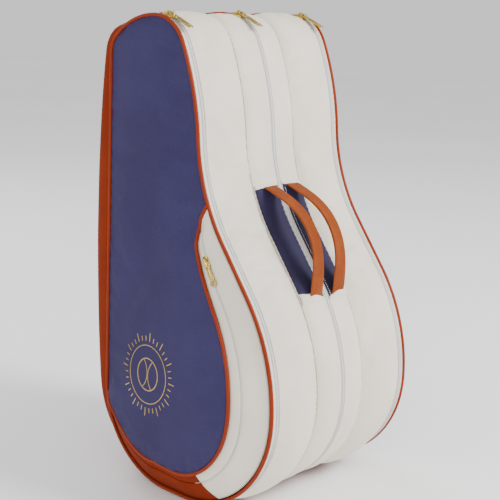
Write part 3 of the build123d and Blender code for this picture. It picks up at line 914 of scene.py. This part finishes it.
def side_skin(side, k):
    """Level rows of vertices between the edges, crowded towards the toe, the nose and the edges."""
    bm = bmesh.new()
    last = None
    for z in spread(LOW_Z + 0.3 * MM, HIGH_Z - 0.3 * MM, SKIN_ROWS, 0.85):
        low, high = edge_span(z)
        row = []
        for y in spread(low, high, SKIN_COLUMNS, 0.5):
            spot = Vector((0, y, z))
            spot.x = k * (PIPE_X + side_depth(spot, 50.0 + k))
            row.append(bm.verts.new(spot))
        join_rows(bm, last, row)
        last = row
    bmesh.ops.recalc_face_normals(bm, faces=bm.faces)
    bm.faces.ensure_lookup_table()
    if bm.faces[len(bm.faces) // 2].normal.x * k < 0:
        bmesh.ops.reverse_faces(bm, faces=bm.faces)
    piece = to_object(bm, f"{side}_navy_skin")
    settle(piece, 1.5, 0.006, 4 * MM)
    SKINS[side] = BVHTree.FromPolygons([v.co.copy() for v in piece.data.vertices],
                                       [list(face.vertices) for face in piece.data.polygons])
    thicken(piece, 2.0 * MM)
    piece.data.materials.append(NAVY)
    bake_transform(piece, f"{side}_side_lid", f"{side}_pocket_cover", past_fold(k, -14 * MM),
             past_fold(k, 14 * MM))
    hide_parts(f"{side}_side_panel", f"{side}_pocket_panel")
    return piece


for side, k in SIDES.items():
    print(side_skin(side, k).name)

# %% [markdown]
# The gusset is ruled between the foot on the side's edge and the rim of the face. Its outer third
# opens with the cover and the rest stays on the lid, with the pocket's own zip between. It is cream
# at the front and rust where the bag stands, like the shell beside it.

# %% Gussets
CREAM_END = next(i for i, (seg, share) in enumerate(STATIONS) if seg == TOE and share > 0.70)
ZIP_GAP = 0.012  # half the gap for the zip, as a share of the gusset's width
HEAD_ROWS, HEEL_ROWS = 8, 6  # rows at the pocket's two ends that stay on the lid


def gusset_strip(name, stations, shares, k, material, slot, body, node):
    """Rows of the gusset between shares of its width, a little puffed between its seams."""
    bm = bmesh.new()
    last = None
    for seg, share in stations:
        outward = station(seg, share)[1]
        row = []
        for t in shares:
            spot = gusset_point(seg, share, t, k)
            along = line_position(seg, share)
            width = 1 - math.exp(-reach_of(spot) / (60 * MM))
            crown = math.sin(math.pi * t)
            puff = 3.0 * MM * crown * width
            crease = 1.6 * MM * math.exp(-abs(t - 1 + COVER_SHARE) * 40) * width
            fold = 0.9 * MM * ripple(Vector((k * t * 0.06, along, 0)), 0.05, 70.0) * crown
            lift = (outward + Vector((k * 0.8, 0, 0))).normalized() * (puff - crease + fold)
            row.append(bm.verts.new(spot + lift))
        join_rows(bm, last, row)
        last = row
    bmesh.ops.recalc_face_normals(bm, faces=bm.faces)
    bm.faces.ensure_lookup_table()
    middle = bm.faces[len(bm.faces) // 2]
    seg, share = stations[len(stations) // 2]
    if middle.normal.dot(station(seg, share)[1] + Vector((k, 0, 0))) < 0:
        bmesh.ops.reverse_faces(bm, faces=bm.faces)
    piece = to_object(bm, name)
    thicken(piece, 1.8 * MM)
    return dress(piece, material, slot, body, node)


FIXED = spread(0.0, 1 - COVER_SHARE - ZIP_GAP, 12)
MOVING = spread(1 - COVER_SHARE + ZIP_GAP, 1.0, 7)
for side, k in SIDES.items():
    front, back = STATIONS[:CREAM_END + 1], STATIONS[CREAM_END:]
    for part, run, material, slot in (("front", front, CREAM, "cream_canvas"),
                                      ("base", back, RUST, "spine_fabric")):
        gusset_strip(f"{side}_gusset_{part}", run, FIXED, k, material, slot, f"{side}_side_lid",
                     f"{side}_pocket_gusset")
        if part == "front":
            still, moving = run[:HEAD_ROWS + 1], run[HEAD_ROWS:]
        else:
            still, moving = run[-HEEL_ROWS - 1:], run[:-HEEL_ROWS]
        gusset_strip(f"{side}_gusset_end_{part}", still, MOVING, k, material, slot,
                     f"{side}_side_lid", f"{side}_pocket_gusset")
        gusset_strip(f"{side}_cover_edge_{part}", moving, MOVING, k, material, slot,
                     f"{side}_pocket_cover", f"{side}_pocket_cover_edge")
print("gussets", 12)

# %% Pocket piping and zip
def rim_point(seg, share, k, t=1.0, out=0.0):
    """Middle of the piping round the pocket's rim."""
    reach = reach_of(station(seg, share)[0])
    inset = rim_inset(seg, share, reach) * ease((reach + 8 * MM) / (22 * MM))
    spot = station(seg, share, -inset * t + out)[0]
    spot.x = k * (PIPE_X + max(0.5 * MM, face_depth(reach_of(spot)) - POCKET_R * 0.8))
    return spot


for side, k in SIDES.items():
    rim = [rim_point(seg, share, k) for seg, share in STATIONS]
    piping = tube(f"{side}_pocket_piping_cord", rim, POCKET_R, uneven=0.1 * MM, sides=4)
    piping.data.materials.append(PIPING)
    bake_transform(piping, f"{side}_side_lid", f"{side}_pocket_cover", past_fold(k, 2 * MM),
             past_fold(k, 26 * MM))
    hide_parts(f"{side}_pocket_piping")
    for part, t, body in (("lid", 1 - COVER_SHARE - ZIP_GAP - 0.002, "side_lid"),
                          ("cover", 1 - COVER_SHARE + ZIP_GAP + 0.002, "pocket_cover")):
        path = [gusset_point(seg, share, t, k, -0.2 * MM)
                for seg, share in STATIONS[HEAD_ROWS:CREAM_END + 6]]
        coil = tube(f"{side}_pocket_zip_{part}", path, 1.1 * MM, sides=2)
        dress(coil, COIL, "zip", f"{side}_{body}")
print("pocket piping and zips", 6)


# %% [markdown]
# ## Handles
# The two carrying handles are flat webbing, sewn into slits at the top and foot of two navy
# patches, one on each side of the centre zip. Each patch is a field of coated cloth laid over the
# cream and turned under at its edges. A strap is a flattened tube drawn along a path that stays in
# one upright plane, so one function makes the handles, the shoulder straps and their webbing.

# %% Straps along a path
def oval(width, thick, count=20, power=0.35):
    """Points (across, out) of a flat band's rounded section."""
    made = []
    for i in range(count):
        a = 2 * math.pi * i / count
        c, s = math.cos(a), math.sin(a)
        made.append((math.copysign(abs(c) ** power, c) * width / 2,
                     math.copysign(abs(s) ** 0.8, s) * thick / 2))
    return made


def strap(name, x, path, shape):
    """A band along path, a list of points in the plane at x; shape(t) is its section's points."""
    bm = bmesh.new()
    count = len(path)
    last = None
    for i, point in enumerate(path):
        way = (path[min(i + 1, count - 1)] - path[max(i - 1, 0)]).normalized()
        out = Vector((0, -way.z, way.y))
        ring = [bm.verts.new(Vector((x + a, point.y, point.z)) + out * b)
                for a, b in shape(i / (count - 1))]
        if not last:
            bm.faces.new(ring)
        join_rings(bm, last, ring)
        last = ring
    bm.faces.new(last)
    bmesh.ops.recalc_face_normals(bm, faces=bm.faces)
    return to_object(bm, name)


# %% Patches
HANDLE_TOP, HANDLE_FOOT = (NECK, 0.5), (HEAD, 0.16)
HANDLE_X, HANDLE_RISE = 27 * MM, 46 * MM
WEB_WIDTH, WEB_THICK = 28 * MM, 3.6 * MM
PATCH_FROM, PATCH_TO = 54.6 * MM, 6.4 * MM


def patch_piece(side, k):
    low, high = sorted((k * PATCH_FROM, k * PATCH_TO))
    under = middle_height(k)
    start, stop = line_position(*HANDLE_TOP), line_position(*HANDLE_FOOT)

    def height(x, along, point):
        near = min(x - low, high - x, along - start, stop - along)
        groove = 0.3 * MM * math.exp(-((near - 3 * MM) / MM) ** 2)
        turned = 0.7 * MM * ease(near / (1.5 * MM)) - groove
        slack = 1.3 * MM * ripple(Vector((x, along, 0)), 0.04, 60.0 + k) * ease(near / (9 * MM))
        return under(x, along, point) + 1.4 * MM + turned + abs(slack)

    piece = band(f"{side}_patch", spread(low, high, 22, 0.5), HANDLE_TOP, HANDLE_FOOT, height,
                 grain=2.5 * MM)
    thicken(piece, 1.6 * MM)
    return dress(piece, PATCH, "navy_patch", f"{side}_compartment", f"{side}_handle_patch")


for side, k in SIDES.items():
    print(patch_piece(side, k).name)

# %% Webbing handles
top_end = station(*HANDLE_TOP, out=1.2 * MM)[0]
foot_end = station(*HANDLE_FOOT, out=1.2 * MM)[0]
chord = foot_end - top_end
bow_out = Vector((0, chord.z, -chord.y)).normalized()
if bow_out.y > 0:
    bow_out = -bow_out


def handle_path(count=64):
    """A bow from slit to slit: it leaves the cloth almost flat, then rises and stays high."""
    path = []
    for i in range(count + 1):
        t = i / count
        rise = HANDLE_RISE * (math.sin(math.pi * t) ** 0.85)
        path.append(top_end + chord * t + bow_out * (rise - 1.5 * MM * (1 - math.sin(math.pi * t))))
    return path


def handle_shape(t):
    """Webbing is folded lengthwise where a hand holds it, and opens flat towards its ends."""
    fold = ease(math.sin(math.pi * t) * 1.3 - 0.35)
    width = WEB_WIDTH * (1 - 0.2 * fold)
    thick = WEB_THICK * (1 + 0.55 * fold)
    curl = 3.0 * MM * fold
    return [(a, b - curl * (2 * a / width) ** 2) for a, b in oval(width, thick, 28)]


def handle_piece(side, k):
    piece = strap(f"{side}_handle_webbing", k * HANDLE_X, handle_path(), handle_shape)
    return dress(piece, WEBBING, "webbing", f"{side}_handle", f"{side}_handle")


for side, k in SIDES.items():
    print(handle_piece(side, k).name)

# %% Slit flaps
FLAP_LENGTH, FLAP_ROLL = 8 * MM, 7 * MM


def slit_flap(side, k, part, where, way, slant, spare):
    """The folded cream edge that the webbing goes under.

    Way is 1 if the flap goes down the line from its slit and -1 if it goes up. Slant is how far
    its lip runs back towards the patch over its width, and spare is the cloth hidden under it.
    """
    seg, share = where
    half = FLAP_LENGTH / step_length(seg)
    low, high = sorted((k * (PATCH_FROM + 0.5 * MM), k * (PATCH_TO - 0.5 * MM)))
    under = middle_height(k)
    slit = share - way * half * 0.3
    start, stop = sorted((slit - way * spare / step_length(seg), share + way * half))

    def height(x, along, point):
        back = slant * (abs(x) - PATCH_TO) / (PATCH_FROM - PATCH_TO)
        past_lip = way * (along - line_position(seg, slit)) + back
        if past_lip < 0:
            return under(x, along, point) - 2 * MM
        across = abs(x - k * HANDLE_X) / (WEB_WIDTH * 0.62)
        swell_up = 1.6 * MM * (1 - ease((across - 0.6) * 2))
        rolled = -0.9 * MM * math.exp(-14 * past_lip / FLAP_ROLL)
        lift = (swell_up + 3.6 * MM) * (1 - ease((past_lip - back) / FLAP_ROLL))
        return under(x, along, point) - 0.3 * MM + lift + rolled

    piece = band(f"{side}_slit_{part}", spread(low, high, 24), (seg, start), (seg, stop), height,
                 grain=0.8 * MM)
    thicken(piece, 1.2 * MM)
    return dress(piece, CREAM, "cream_canvas", f"{side}_compartment")


for side, k in SIDES.items():
    slit_flap(side, k, "top", HANDLE_TOP, -1, 3 * MM, 5 * MM)
    slit_flap(side, k, "foot", HANDLE_FOOT, 1, 15 * MM, 17 * MM)
print("slit flaps", 4)

# %% [markdown]
# ## Zip sliders and pulls
# The sliders are die-cast and plated. The body is a waisted plate over the coil with a bridge on
# it, and the pull hangs from the bridge: a frame with two long windows and a rounded end. Each is
# built once in its own small frame, x across the zip, y along it and z out, then placed by a matrix
# so that the pull hangs at, or close to, the pin of its joint.

# %% Bevelled bars
def bar(bm, matrix, middle, size, bevel, taper=1.0):
    """A bevelled bar in local millimetres; its far end in y may be wider or narrower by taper."""
    made = bmesh.ops.create_cube(bm, size=1.0)["verts"]
    for vert in made:
        wide = taper if vert.co.y > 0 else 1.0
        vert.co = Vector((vert.co.x * size[0] * wide, vert.co.y * size[1], vert.co.z * size[2]))
    edges = list({edge for vert in made for edge in vert.link_edges})
    done = bmesh.ops.bevel(bm, geom=edges, offset=bevel, segments=2, profile=0.5, affect="EDGES",
                           material=-1)
    verts = {v for face in done["faces"] for v in face.verts} | {v for v in made if v.is_valid}
    for vert in verts:
        vert.co = matrix @ ((vert.co + Vector(middle)) * MM)


def slider_mesh(bm, seat):
    """Slider body: wings over the coil, a raised keel, and the bridge that holds the pull."""
    bar(bm, seat, (0, 0, 1.4), (8.6, 15.0, 1.5), 0.6, 1.16)
    bar(bm, seat, (0, 0.5, 2.5), (6.2, 12.0, 1.6), 0.7, 0.85)
    bar(bm, seat, (-4.4, 0.5, 0.4), (1.0, 12.5, 2.6), 0.4)
    bar(bm, seat, (4.4, 0.5, 0.4), (1.0, 12.5, 2.6), 0.4)
    bar(bm, seat, (0, -2.6, 4.8), (3.6, 1.8, 4.6), 0.6)
    bar(bm, seat, (0, 7.0, 4.6), (3.6, 1.8, 4.2), 0.6)
    bar(bm, seat, (0, 2.2, 7.4), (3.6, 10.6, 1.7), 0.7)


def pull_mesh(bm, seat):
    """Pull: a loop round the bridge, three rails with two windows between, and a rounded end."""
    bar(bm, seat, (0, 0.2, 0), (7.0, 2.4, 2.2), 0.8)
    bar(bm, seat, (-2.7, 3.4, 0), (1.7, 7.0, 1.9), 0.6)
    bar(bm, seat, (2.7, 3.4, 0), (1.7, 7.0, 1.9), 0.6)
    bar(bm, seat, (0, 8.2, 0), (7.4, 3.4, 2.3), 0.9)
    for x in (-3.24, 3.24, 0):
        bar(bm, seat, (x, 17.0, 0), (1.7, 17.0, 1.9), 0.6)
    bar(bm, seat, (0, 26.8, 0), (8.6, 4.4, 2.3), 1.0)
    ball = bmesh.ops.create_uvsphere(bm, u_segments=20, v_segments=12, radius=1.0)["verts"]
    for vert in ball:
        local = Vector((vert.co.x * 4.1, 29.6 + vert.co.y * 3.4, vert.co.z * 1.5))
        vert.co = seat @ (local * MM)


def window_shade_mesh(bm, seat):
    """Dark bars in the two windows of a pull: painted shade standing in for the shadow seen through them."""
    for x in (-1.6, 1.6):
        bar(bm, seat, (x, 17.4, -0.2), (1.7, 15.6, 1.0), 0.2)


def bar_pull_mesh(bm, seat):
    """The pocket's pull: a loop, a ribbed bar that widens, and a round eye at its end."""
    bar(bm, seat, (0, 0.2, 0), (6.0, 2.2, 2.0), 0.8)
    bar(bm, seat, (-2.2, 3.2, 0), (1.5, 6.4, 1.8), 0.5)
    bar(bm, seat, (2.2, 3.2, 0), (1.5, 6.4, 1.8), 0.5)
    bar(bm, seat, (0, 13.5, 0), (4.6, 16.5, 1.9), 0.7, 1.3)
    for i in range(7):
        bar(bm, seat, (0, 7.4 + i * 2.1, 0), (4.4 + i * 0.2, 0.9, 2.7), 0.35)
    for i in range(18):
        a, b = 2 * math.pi * i / 18, 2 * math.pi * (i + 1) / 18
        spot = ((math.cos(a) + math.cos(b)) * 1.7, 25.0 + (math.sin(a) + math.sin(b)) * 1.7, 0)
        turn = Matrix.Translation(Vector(spot) * MM) @ Matrix.Rotation((a + b) / 2, 4, "Z")
        bar(bm, seat @ turn, (0, 0, 0), (1.9, 1.5, 1.9), 0.4)


def seat_matrix(origin, out, along, size=1.0):
    """Frame with z along out and y along the zip, for a fitting of a given size."""
    z = out.normalized()
    y = (along - z * along.dot(z)).normalized()
    matrix = Matrix((y.cross(z) * size, y * size, z * size)).transposed().to_4x4()
    matrix.translation = origin
    return matrix


def metal(name, builder, seat, body, node):
    """A gold-plated fitting made by a builder in the frame of its seat."""
    bm = bmesh.new()
    builder(bm, seat)
    bmesh.ops.recalc_face_normals(bm, faces=bm.faces)
    piece = to_object(bm, name)
    return dress(piece, GOLD, "gold_metal", body, node)


# %% Main sliders
SLIDER_SHARE = 0.24
SLIDER_SIZE, SLIDER_FLAT = 1.5, 0.6
PIN_Y, PIN_Z = 2.5, 5.3  # where the pull hangs, in the slider's own millimetres
PINS = {joint["name"]: Vector(joint["pos_m"])
        for joint in frame["record"]["behaviour"]["joints"] if "pos_m" in joint}


def hang_on(pin, out, along, size):
    """Seat whose pull hangs exactly on its joint's pin."""
    seat = seat_matrix(pin, out, along, size)
    seat.translation = pin - (seat @ (Vector((0, PIN_Y, PIN_Z)) * MM) - pin)
    return seat


def pull_seat(seat, lean):
    """Seat of a pull on its slider, leaning towards the cloth by some degrees."""
    pin = Matrix.Translation(Vector((0, PIN_Y, PIN_Z)) * MM)
    return seat @ pin @ Matrix.Rotation(math.radians(-lean), 4, "X")


spot, outward = station(NOSE, SLIDER_SHARE, out=1.3 * MM)
travel = station(NOSE, SLIDER_SHARE + 0.01)[0] - station(NOSE, SLIDER_SHARE - 0.01)[0]
spot -= travel.normalized() * 1.3 * MM
for label, x, rise in (("left", -LID_X, 0.0), ("right", LID_X, 0.0), ("centre", 0.0, 1.9 * MM)):
    seat = seat_matrix(spot + Vector((x, 0, 0)) + outward * rise, outward, travel, SLIDER_SIZE)
    seat @= Matrix.Diagonal((1, 1, SLIDER_FLAT, 1))
    metal(f"{label}_slider_body", slider_mesh, seat, f"{label}_zip_slider", f"{label}_zip_slider")
    hang = pull_seat(seat, 12)
    metal(f"{label}_pull_frame", pull_mesh, hang, f"{label}_zip_pull", f"{label}_zip_pull")
    # The pull's windows are filled with dark acetal bars as painted shade.
    bm = bmesh.new()
    window_shade_mesh(bm, hang)
    bmesh.ops.recalc_face_normals(bm, faces=bm.faces)
    dress(to_object(bm, f"{label}_pull_window_shade"), PLASTIC, "gold_metal", f"{label}_zip_pull")
print("main sliders at", [round(v, 4) for v in spot])

# %% Pocket sliders
POCKET_SLIDER_SIZE = 1.3
for side, k in SIDES.items():
    split = 1 - COVER_SHARE
    first = gusset_point(NECK_STRAIGHT, 0.12, split, k)
    run = (gusset_point(NECK_STRAIGHT, 0.95, split, k) - first).normalized()
    across_zip = gusset_point(NECK_STRAIGHT, 0.12, 1.0, k) - first
    out_way = run.cross(across_zip).normalized()
    if out_way.x * k < 0:
        out_way = -out_way
    seat = hang_on(PINS[f"{side}_pocket_pull_lifts"], out_way, run, POCKET_SLIDER_SIZE)
    metal(f"{side}_pocket_slider_body", slider_mesh, seat, f"{side}_pocket_zip_slider",
          f"{side}_pocket_zip_slider")
    metal(f"{side}_pocket_pull_bar", bar_pull_mesh, pull_seat(seat, 3),
          f"{side}_pocket_zip_pull", f"{side}_pocket_zip_pull")
print("pocket slider at", [round(v, 4) for v in seat.translation])

# %% [markdown]
# ## The back
# Two padded shoulder straps are sewn to the spine at their upper ends and end in ladder-lock
# buckles. The webbing from each buckle is sewn down near the base.

# %% Shoulder straps
STRAP_X, STRAP_WIDTH, STRAP_THICK = 28 * MM, 44 * MM, 10 * MM
STRAP_TOP, STRAP_FOOT, STRAP_RISE = 600 * MM, 350 * MM, 26 * MM
SPINE_START = line_position(SPINE, 0.0)
SPINE_LOW = station(SPINE, 0.0)[0].z


def on_spine(x, z, out):
    """Point above the spine's cloth at a height, out from it."""
    along = SPINE_START + (z - SPINE_LOW)
    pad = 3.0 * MM * (1 - (x / SEAM_X) ** 2)
    return Vector((0, SPINE_Y + spine_bulge(x, along) + pad + out, z))


def bow_path(x, high, low, rise, count, out):
    """A bow from a high point of the spine to a low one, out from the cloth at both ends."""
    made = []
    for i in range(count + 1):
        t = i / count
        lift = out + rise * math.sin(math.pi * t) ** 0.9
        made.append(on_spine(x, high + (low - high) * t, lift))
    return made


def padded_shape(t):
    """The strap's quilted pad: full between its bound edges and thinner towards its ends."""
    ends = min(1.0, 6 * t + 0.35, 6 * (1 - t) + 0.35)
    quilt = 1 - 0.12 * math.exp(-(((t * 9) % 1 - 0.5) / 0.06) ** 2)
    width = STRAP_WIDTH * (0.86 + 0.14 * min(1.0, ends))
    return oval(width, STRAP_THICK * ends * quilt, 28, 0.5)


def strap_binding(x, path, edge):
    return [Vector((x + edge, p.y, p.z)) for p in path]


for side, k in SIDES.items():
    x = k * STRAP_X
    path = bow_path(x, STRAP_TOP, STRAP_FOOT, STRAP_RISE, 110, 3 * MM)
    pad = strap(f"{side}_strap_pad", x, path, padded_shape)
    dress(pad, STRAP_CLOTH, "strap_fabric", "spine", f"{side}_shoulder_strap")
    for label, edge in (("inner", -1), ("outer", 1)):
        cord = tube(f"{side}_strap_binding_{label}",
                    strap_binding(x, path, k * edge * STRAP_WIDTH * 0.485), 1.5 * MM, sides=3)
        dress(cord, PIPING, "piping", "spine")
print("straps", 2)

# %% Buckles and webbing
BUCKLE_Z = 330 * MM
STRAP_WEB_FOOT = 215 * MM


def buckle_mesh(bm, seat):
    """Ladder-lock: a frame with three cross bars, the middle one raised, and a thumb tab."""
    for x in (-15.2, 15.2):
        bar(bm, seat, (x, 0, 0), (3.6, 22.0, 4.6), 1.2)
    for y, z, thick in ((-9.4, 0.0, 4.4), (-1.5, 1.2, 3.4), (6.0, -0.2, 3.4)):
        bar(bm, seat, (0, y, z), (30.0, 3.2, thick), 1.2)
    bar(bm, seat, (0, 11.2, 1.4), (22.0, 5.4, 2.6), 1.2, 0.8)
    for i in range(5):
        bar(bm, seat, (0, 9.6 + i * 1.0, 2.9), (16.0, 0.5, 0.5), 0.15)


for side, k in SIDES.items():
    x = k * STRAP_X
    at = on_spine(x, BUCKLE_Z, 5 * MM) + Vector((x, 0, 0))
    bm = bmesh.new()
    buckle_mesh(bm, seat_matrix(at, Vector((0, 1, 0.05)), Vector((0, 0, -1))))
    bmesh.ops.recalc_face_normals(bm, faces=bm.faces)
    dress(to_object(bm, f"{side}_ladder_lock"), PLASTIC, "buckle", "spine", f"{side}_strap_buckle")
    path = bow_path(x, BUCKLE_Z + 6 * MM, STRAP_WEB_FOOT, 6 * MM, 40, 2.4 * MM)
    web = strap(f"{side}_strap_web", x, path, lambda t: oval(25 * MM, 2.2 * MM, 24, 0.3))
    dress(web, WEBBING, "webbing", "spine", f"{side}_strap_webbing")
print("buckles", 2)

# %% [markdown]
# ## Inside and underneath
# The dividers and the base board are stiff sheets wrapped in lining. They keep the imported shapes,
# with their own cloth.

# %% Boards
for side in SIDES:
    board = frame["nodes"][f"{side}_divider"]
    board.data.materials.clear()
    board.data.materials.append(BOARD)
base = frame["nodes"]["base_board"]
base.data.materials.clear()
base.data.materials.append(RUST)
print("boards", 3)


# %% [markdown]
# ## Stitching and the sewn mark
# Topstitching is real thread: each stitch is a short capsule lying on the cloth, a little sunk at
# its ends. The mark on the pocket is a plain ball in a ring of ticks, as a sports bag might carry,
# laid on the cloth in raised gold thread.

# %% Stitches
def stitch_row(name, points, body, pitch=3.4 * MM, length=2.5 * MM, radius=0.36 * MM):
    """Stitches along a row of points that already lie on the cloth; returns the piece."""
    bm = bmesh.new()
    travelled, due = 0.0, pitch
    for a, b in zip(points, points[1:]):
        travelled += (b - a).length
        if travelled < due:
            continue
        due += pitch
        way = (b - a).normalized()
        side_way = way.orthogonal().normalized()
        other = way.cross(side_way)
        last = None
        for t, r in ((-0.5, 0.25), (-0.3, 1.0), (0.3, 1.0), (0.5, 0.25)):
            middle = b + way * t * length
            ring = [bm.verts.new(middle + (side_way * math.cos(n * math.pi / 3)
                                           + other * math.sin(n * math.pi / 3)) * radius * r)
                    for n in range(6)]
            join_rings(bm, last, ring)
            last = ring
    bmesh.ops.recalc_face_normals(bm, faces=bm.faces)
    return dress(to_object(bm, name), STITCH, "cream_canvas", body)


def shell_path(x, start, stop, height, out=0.3 * MM):
    """Points on a padded strip of the shell at one x."""
    bm = bmesh.new()
    row = draw_line(bm, x, start, stop, grain=1.1 * MM)
    along, out_y, out_z = marks(bm)
    points = []
    for vert in row:
        rise = height(x, vert[along], vert.co) + out
        points.append(vert.co + Vector((0, vert[out_y], vert[out_z])) * rise)
    bm.free()
    return points


def patch_height(k):
    under = middle_height(k)
    return lambda x, along, point: under(x, along, point) + 2.1 * MM


def strip_height(x, along, point):
    return 0.5 * MM


for side, k in SIDES.items():
    row = shell_path(k * (PATCH_TO + 2.6 * MM), (NECK, 0.53), (HEAD, 0.14), patch_height(k))
    stitch_row(f"{side}_patch_stitches", row, f"{side}_compartment")
    row = shell_path(k * (LID_X + TAPE_HALF + 2.6 * MM), ZIP_TOP, ZIP_FOOT, strip_height)
    stitch_row(f"{side}_strip_stitches", row, f"{side}_side_lid")
    x = k * STRAP_X
    path = bow_path(x, STRAP_TOP, STRAP_FOOT, STRAP_RISE, 340, 3 * MM)
    for label, edge in (("inner", -0.4), ("outer", 0.4)):
        lifted = [Vector((x + edge * STRAP_WIDTH, p.y + STRAP_THICK * 0.42, p.z))
                  for p in path[14:-14]]
        stitch_row(f"{side}_strap_stitches_{label}", lifted, "spine")
print("stitch rows", 8)

# %% The sewn mark
MARK_Y, MARK_Z = 41 * MM, 201 * MM
MARK_TICKS = 36
MARK = cloth("gold embroidery thread", "#A68649", "#C4A562", 0.5 * MM, roughness=0.45, bump=0.3)


def on_skin(side, k, y, z, out=0.25 * MM):
    """The point of a navy skin straight in from (y, z)."""
    start = Vector((k * 0.4, y, z))
    hit = SKINS[side].ray_cast(start, Vector((-k, 0, 0)))[0]
    return hit + Vector((k * out, 0, 0))


def mark_thread(bm, side, k, points, radius):
    """Lays a flattened thread along (y, z) points on the skin."""
    spots = [on_skin(side, k, MARK_Y + y * MM, MARK_Z + z * MM) for y, z in points]
    last = None
    for i, spot in enumerate(spots):
        way = (spots[min(i + 1, len(spots) - 1)] - spots[max(i - 1, 0)]).normalized()
        flat = way.cross(Vector((1, 0, 0))).normalized() * radius
        out = Vector((k, 0, 0)) * radius * 0.4
        ring = [bm.verts.new(spot + flat * math.cos(a) + out * math.sin(a))
                for a in (n * math.pi / 4 for n in range(8))]
        join_rings(bm, last, ring)
        last = ring


def arc_points(radius, start, stop, count, cy=0.0):
    """Points (y, z) in millimetres along an arc, from one angle in degrees to another."""
    angles = [math.radians(start + (stop - start) * i / count) for i in range(count + 1)]
    return [(cy + radius * math.cos(a), radius * math.sin(a)) for a in angles]


def sewn_mark(side, k):
    """A ball with two seams, in a ring with ticks round it."""
    bm = bmesh.new()
    mark_thread(bm, side, k, arc_points(26, 0, 360, 60), 1.1 * MM)
    mark_thread(bm, side, k, arc_points(30, 132, 228, 24, 31), 0.8 * MM)
    mark_thread(bm, side, k, arc_points(30, -48, 48, 24, -31), 0.8 * MM)
    mark_thread(bm, side, k, arc_points(47, 0, 360, 90), 0.8 * MM)
    for i in range(MARK_TICKS):
        a = math.radians(i * 360 / MARK_TICKS)
        near, far = 54, (62 if i % 3 else 68)
        tick = [(r * math.cos(a), r * math.sin(a)) for r in (near, (near + far) / 2, far)]
        mark_thread(bm, side, k, tick, 0.9 * MM)
    bmesh.ops.recalc_face_normals(bm, faces=bm.faces)
    piece = to_object(bm, f"{side}_mark")
    return dress(piece, MARK, "gold_metal", f"{side}_pocket_cover")


for side, k in SIDES.items():
    print(sewn_mark(side, k).name)


# %% [markdown]
# ## Light and camera
# The bag stands on a plain pale floor. A strong soft light from the front gives its rounded panels
# their shading, and three weaker ones fill the other sides. The camera is a long lens, as a product
# shot uses, so that the bag's edges stay almost parallel.

# %% Floor
def floor_material():
    """Matt pale grey studio paper, with a faint mottle."""
    material, tree, place = new_material("studio paper")
    tone = toned(tree, place, "#FBFBFC", "#FFFFFF", 1.2)
    surface = add(tree, "ShaderNodeBsdfPrincipled", {"Roughness": 0.9}, {"Base Color": tone})
    finish_material(tree, surface)
    return material


FLOOR_Z = min(0.0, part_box("base_board")[0].z) - 1.0 * MM
bm = bmesh.new()
bmesh.ops.create_grid(bm, x_segments=1, y_segments=1, size=9.0)
floor = to_object(bm, "floor")
floor.location.z = FLOOR_Z
floor.data.materials.append(floor_material())
print("floor at", FLOOR_Z)

# %% Lights
def area_light(name, place, target, size, watts, colour="#FFFFFF"):
    data = bpy.data.lights.new(name, "AREA")
    data.shape, data.size, data.energy = "DISK", size, watts
    data.color = linear(colour)[:3]
    light = bpy.data.objects.new(name, data)
    bpy.context.scene.collection.objects.link(light)
    light.location = place
    light.rotation_euler = (Vector(target) - Vector(place)).to_track_quat("-Z", "Y").to_euler()
    return light


MIDDLE = (0, 0, 0.4)
area_light("key", (1.3, -2.9, 2.5), MIDDLE, 1.5, 172)
area_light("fill", (-2.2, -2.2, 1.6), MIDDLE, 2.4, 26)
area_light("side", (-3.0, 0.9, 1.3), MIDDLE, 2.0, 20)
area_light("rim", (0.6, 2.4, 2.4), MIDDLE, 1.6, 30)
world = bpy.data.worlds.new("studio")
bpy.context.scene.world = world
world.use_nodes = True
world.node_tree.nodes["Background"].inputs["Color"].default_value = linear("#FFFFFF")
world.node_tree.nodes["Background"].inputs["Strength"].default_value = 0.9
print("lights", len(bpy.data.lights))

# %% Camera
CAMERA_AT = Vector((-1.40118, -1.27470, 0.81147))
LOOK = Vector((0.71984, 0.65846, -0.21968)).normalized()
ROLL = math.radians(2.29)
across = LOOK.cross(Vector((0, 0, 1))).normalized()
upright = across.cross(LOOK)
right = across * math.cos(ROLL) + upright * math.sin(ROLL)
up = upright * math.cos(ROLL) - across * math.sin(ROLL)
camera_data = bpy.data.cameras.new("camera")
camera_data.lens = 84.57
camera_data.sensor_width = 36
camera_data.dof.use_dof = False
camera = bpy.data.objects.new("camera", camera_data)
bpy.context.scene.collection.objects.link(camera)
turned = Matrix((right, up, -LOOK)).transposed().to_4x4()
camera.matrix_world = Matrix.Translation(CAMERA_AT) @ turned
bpy.context.scene.camera = camera
print("camera", [round(v, 3) for v in CAMERA_AT])

# %% [markdown]

# %% Finish
import json
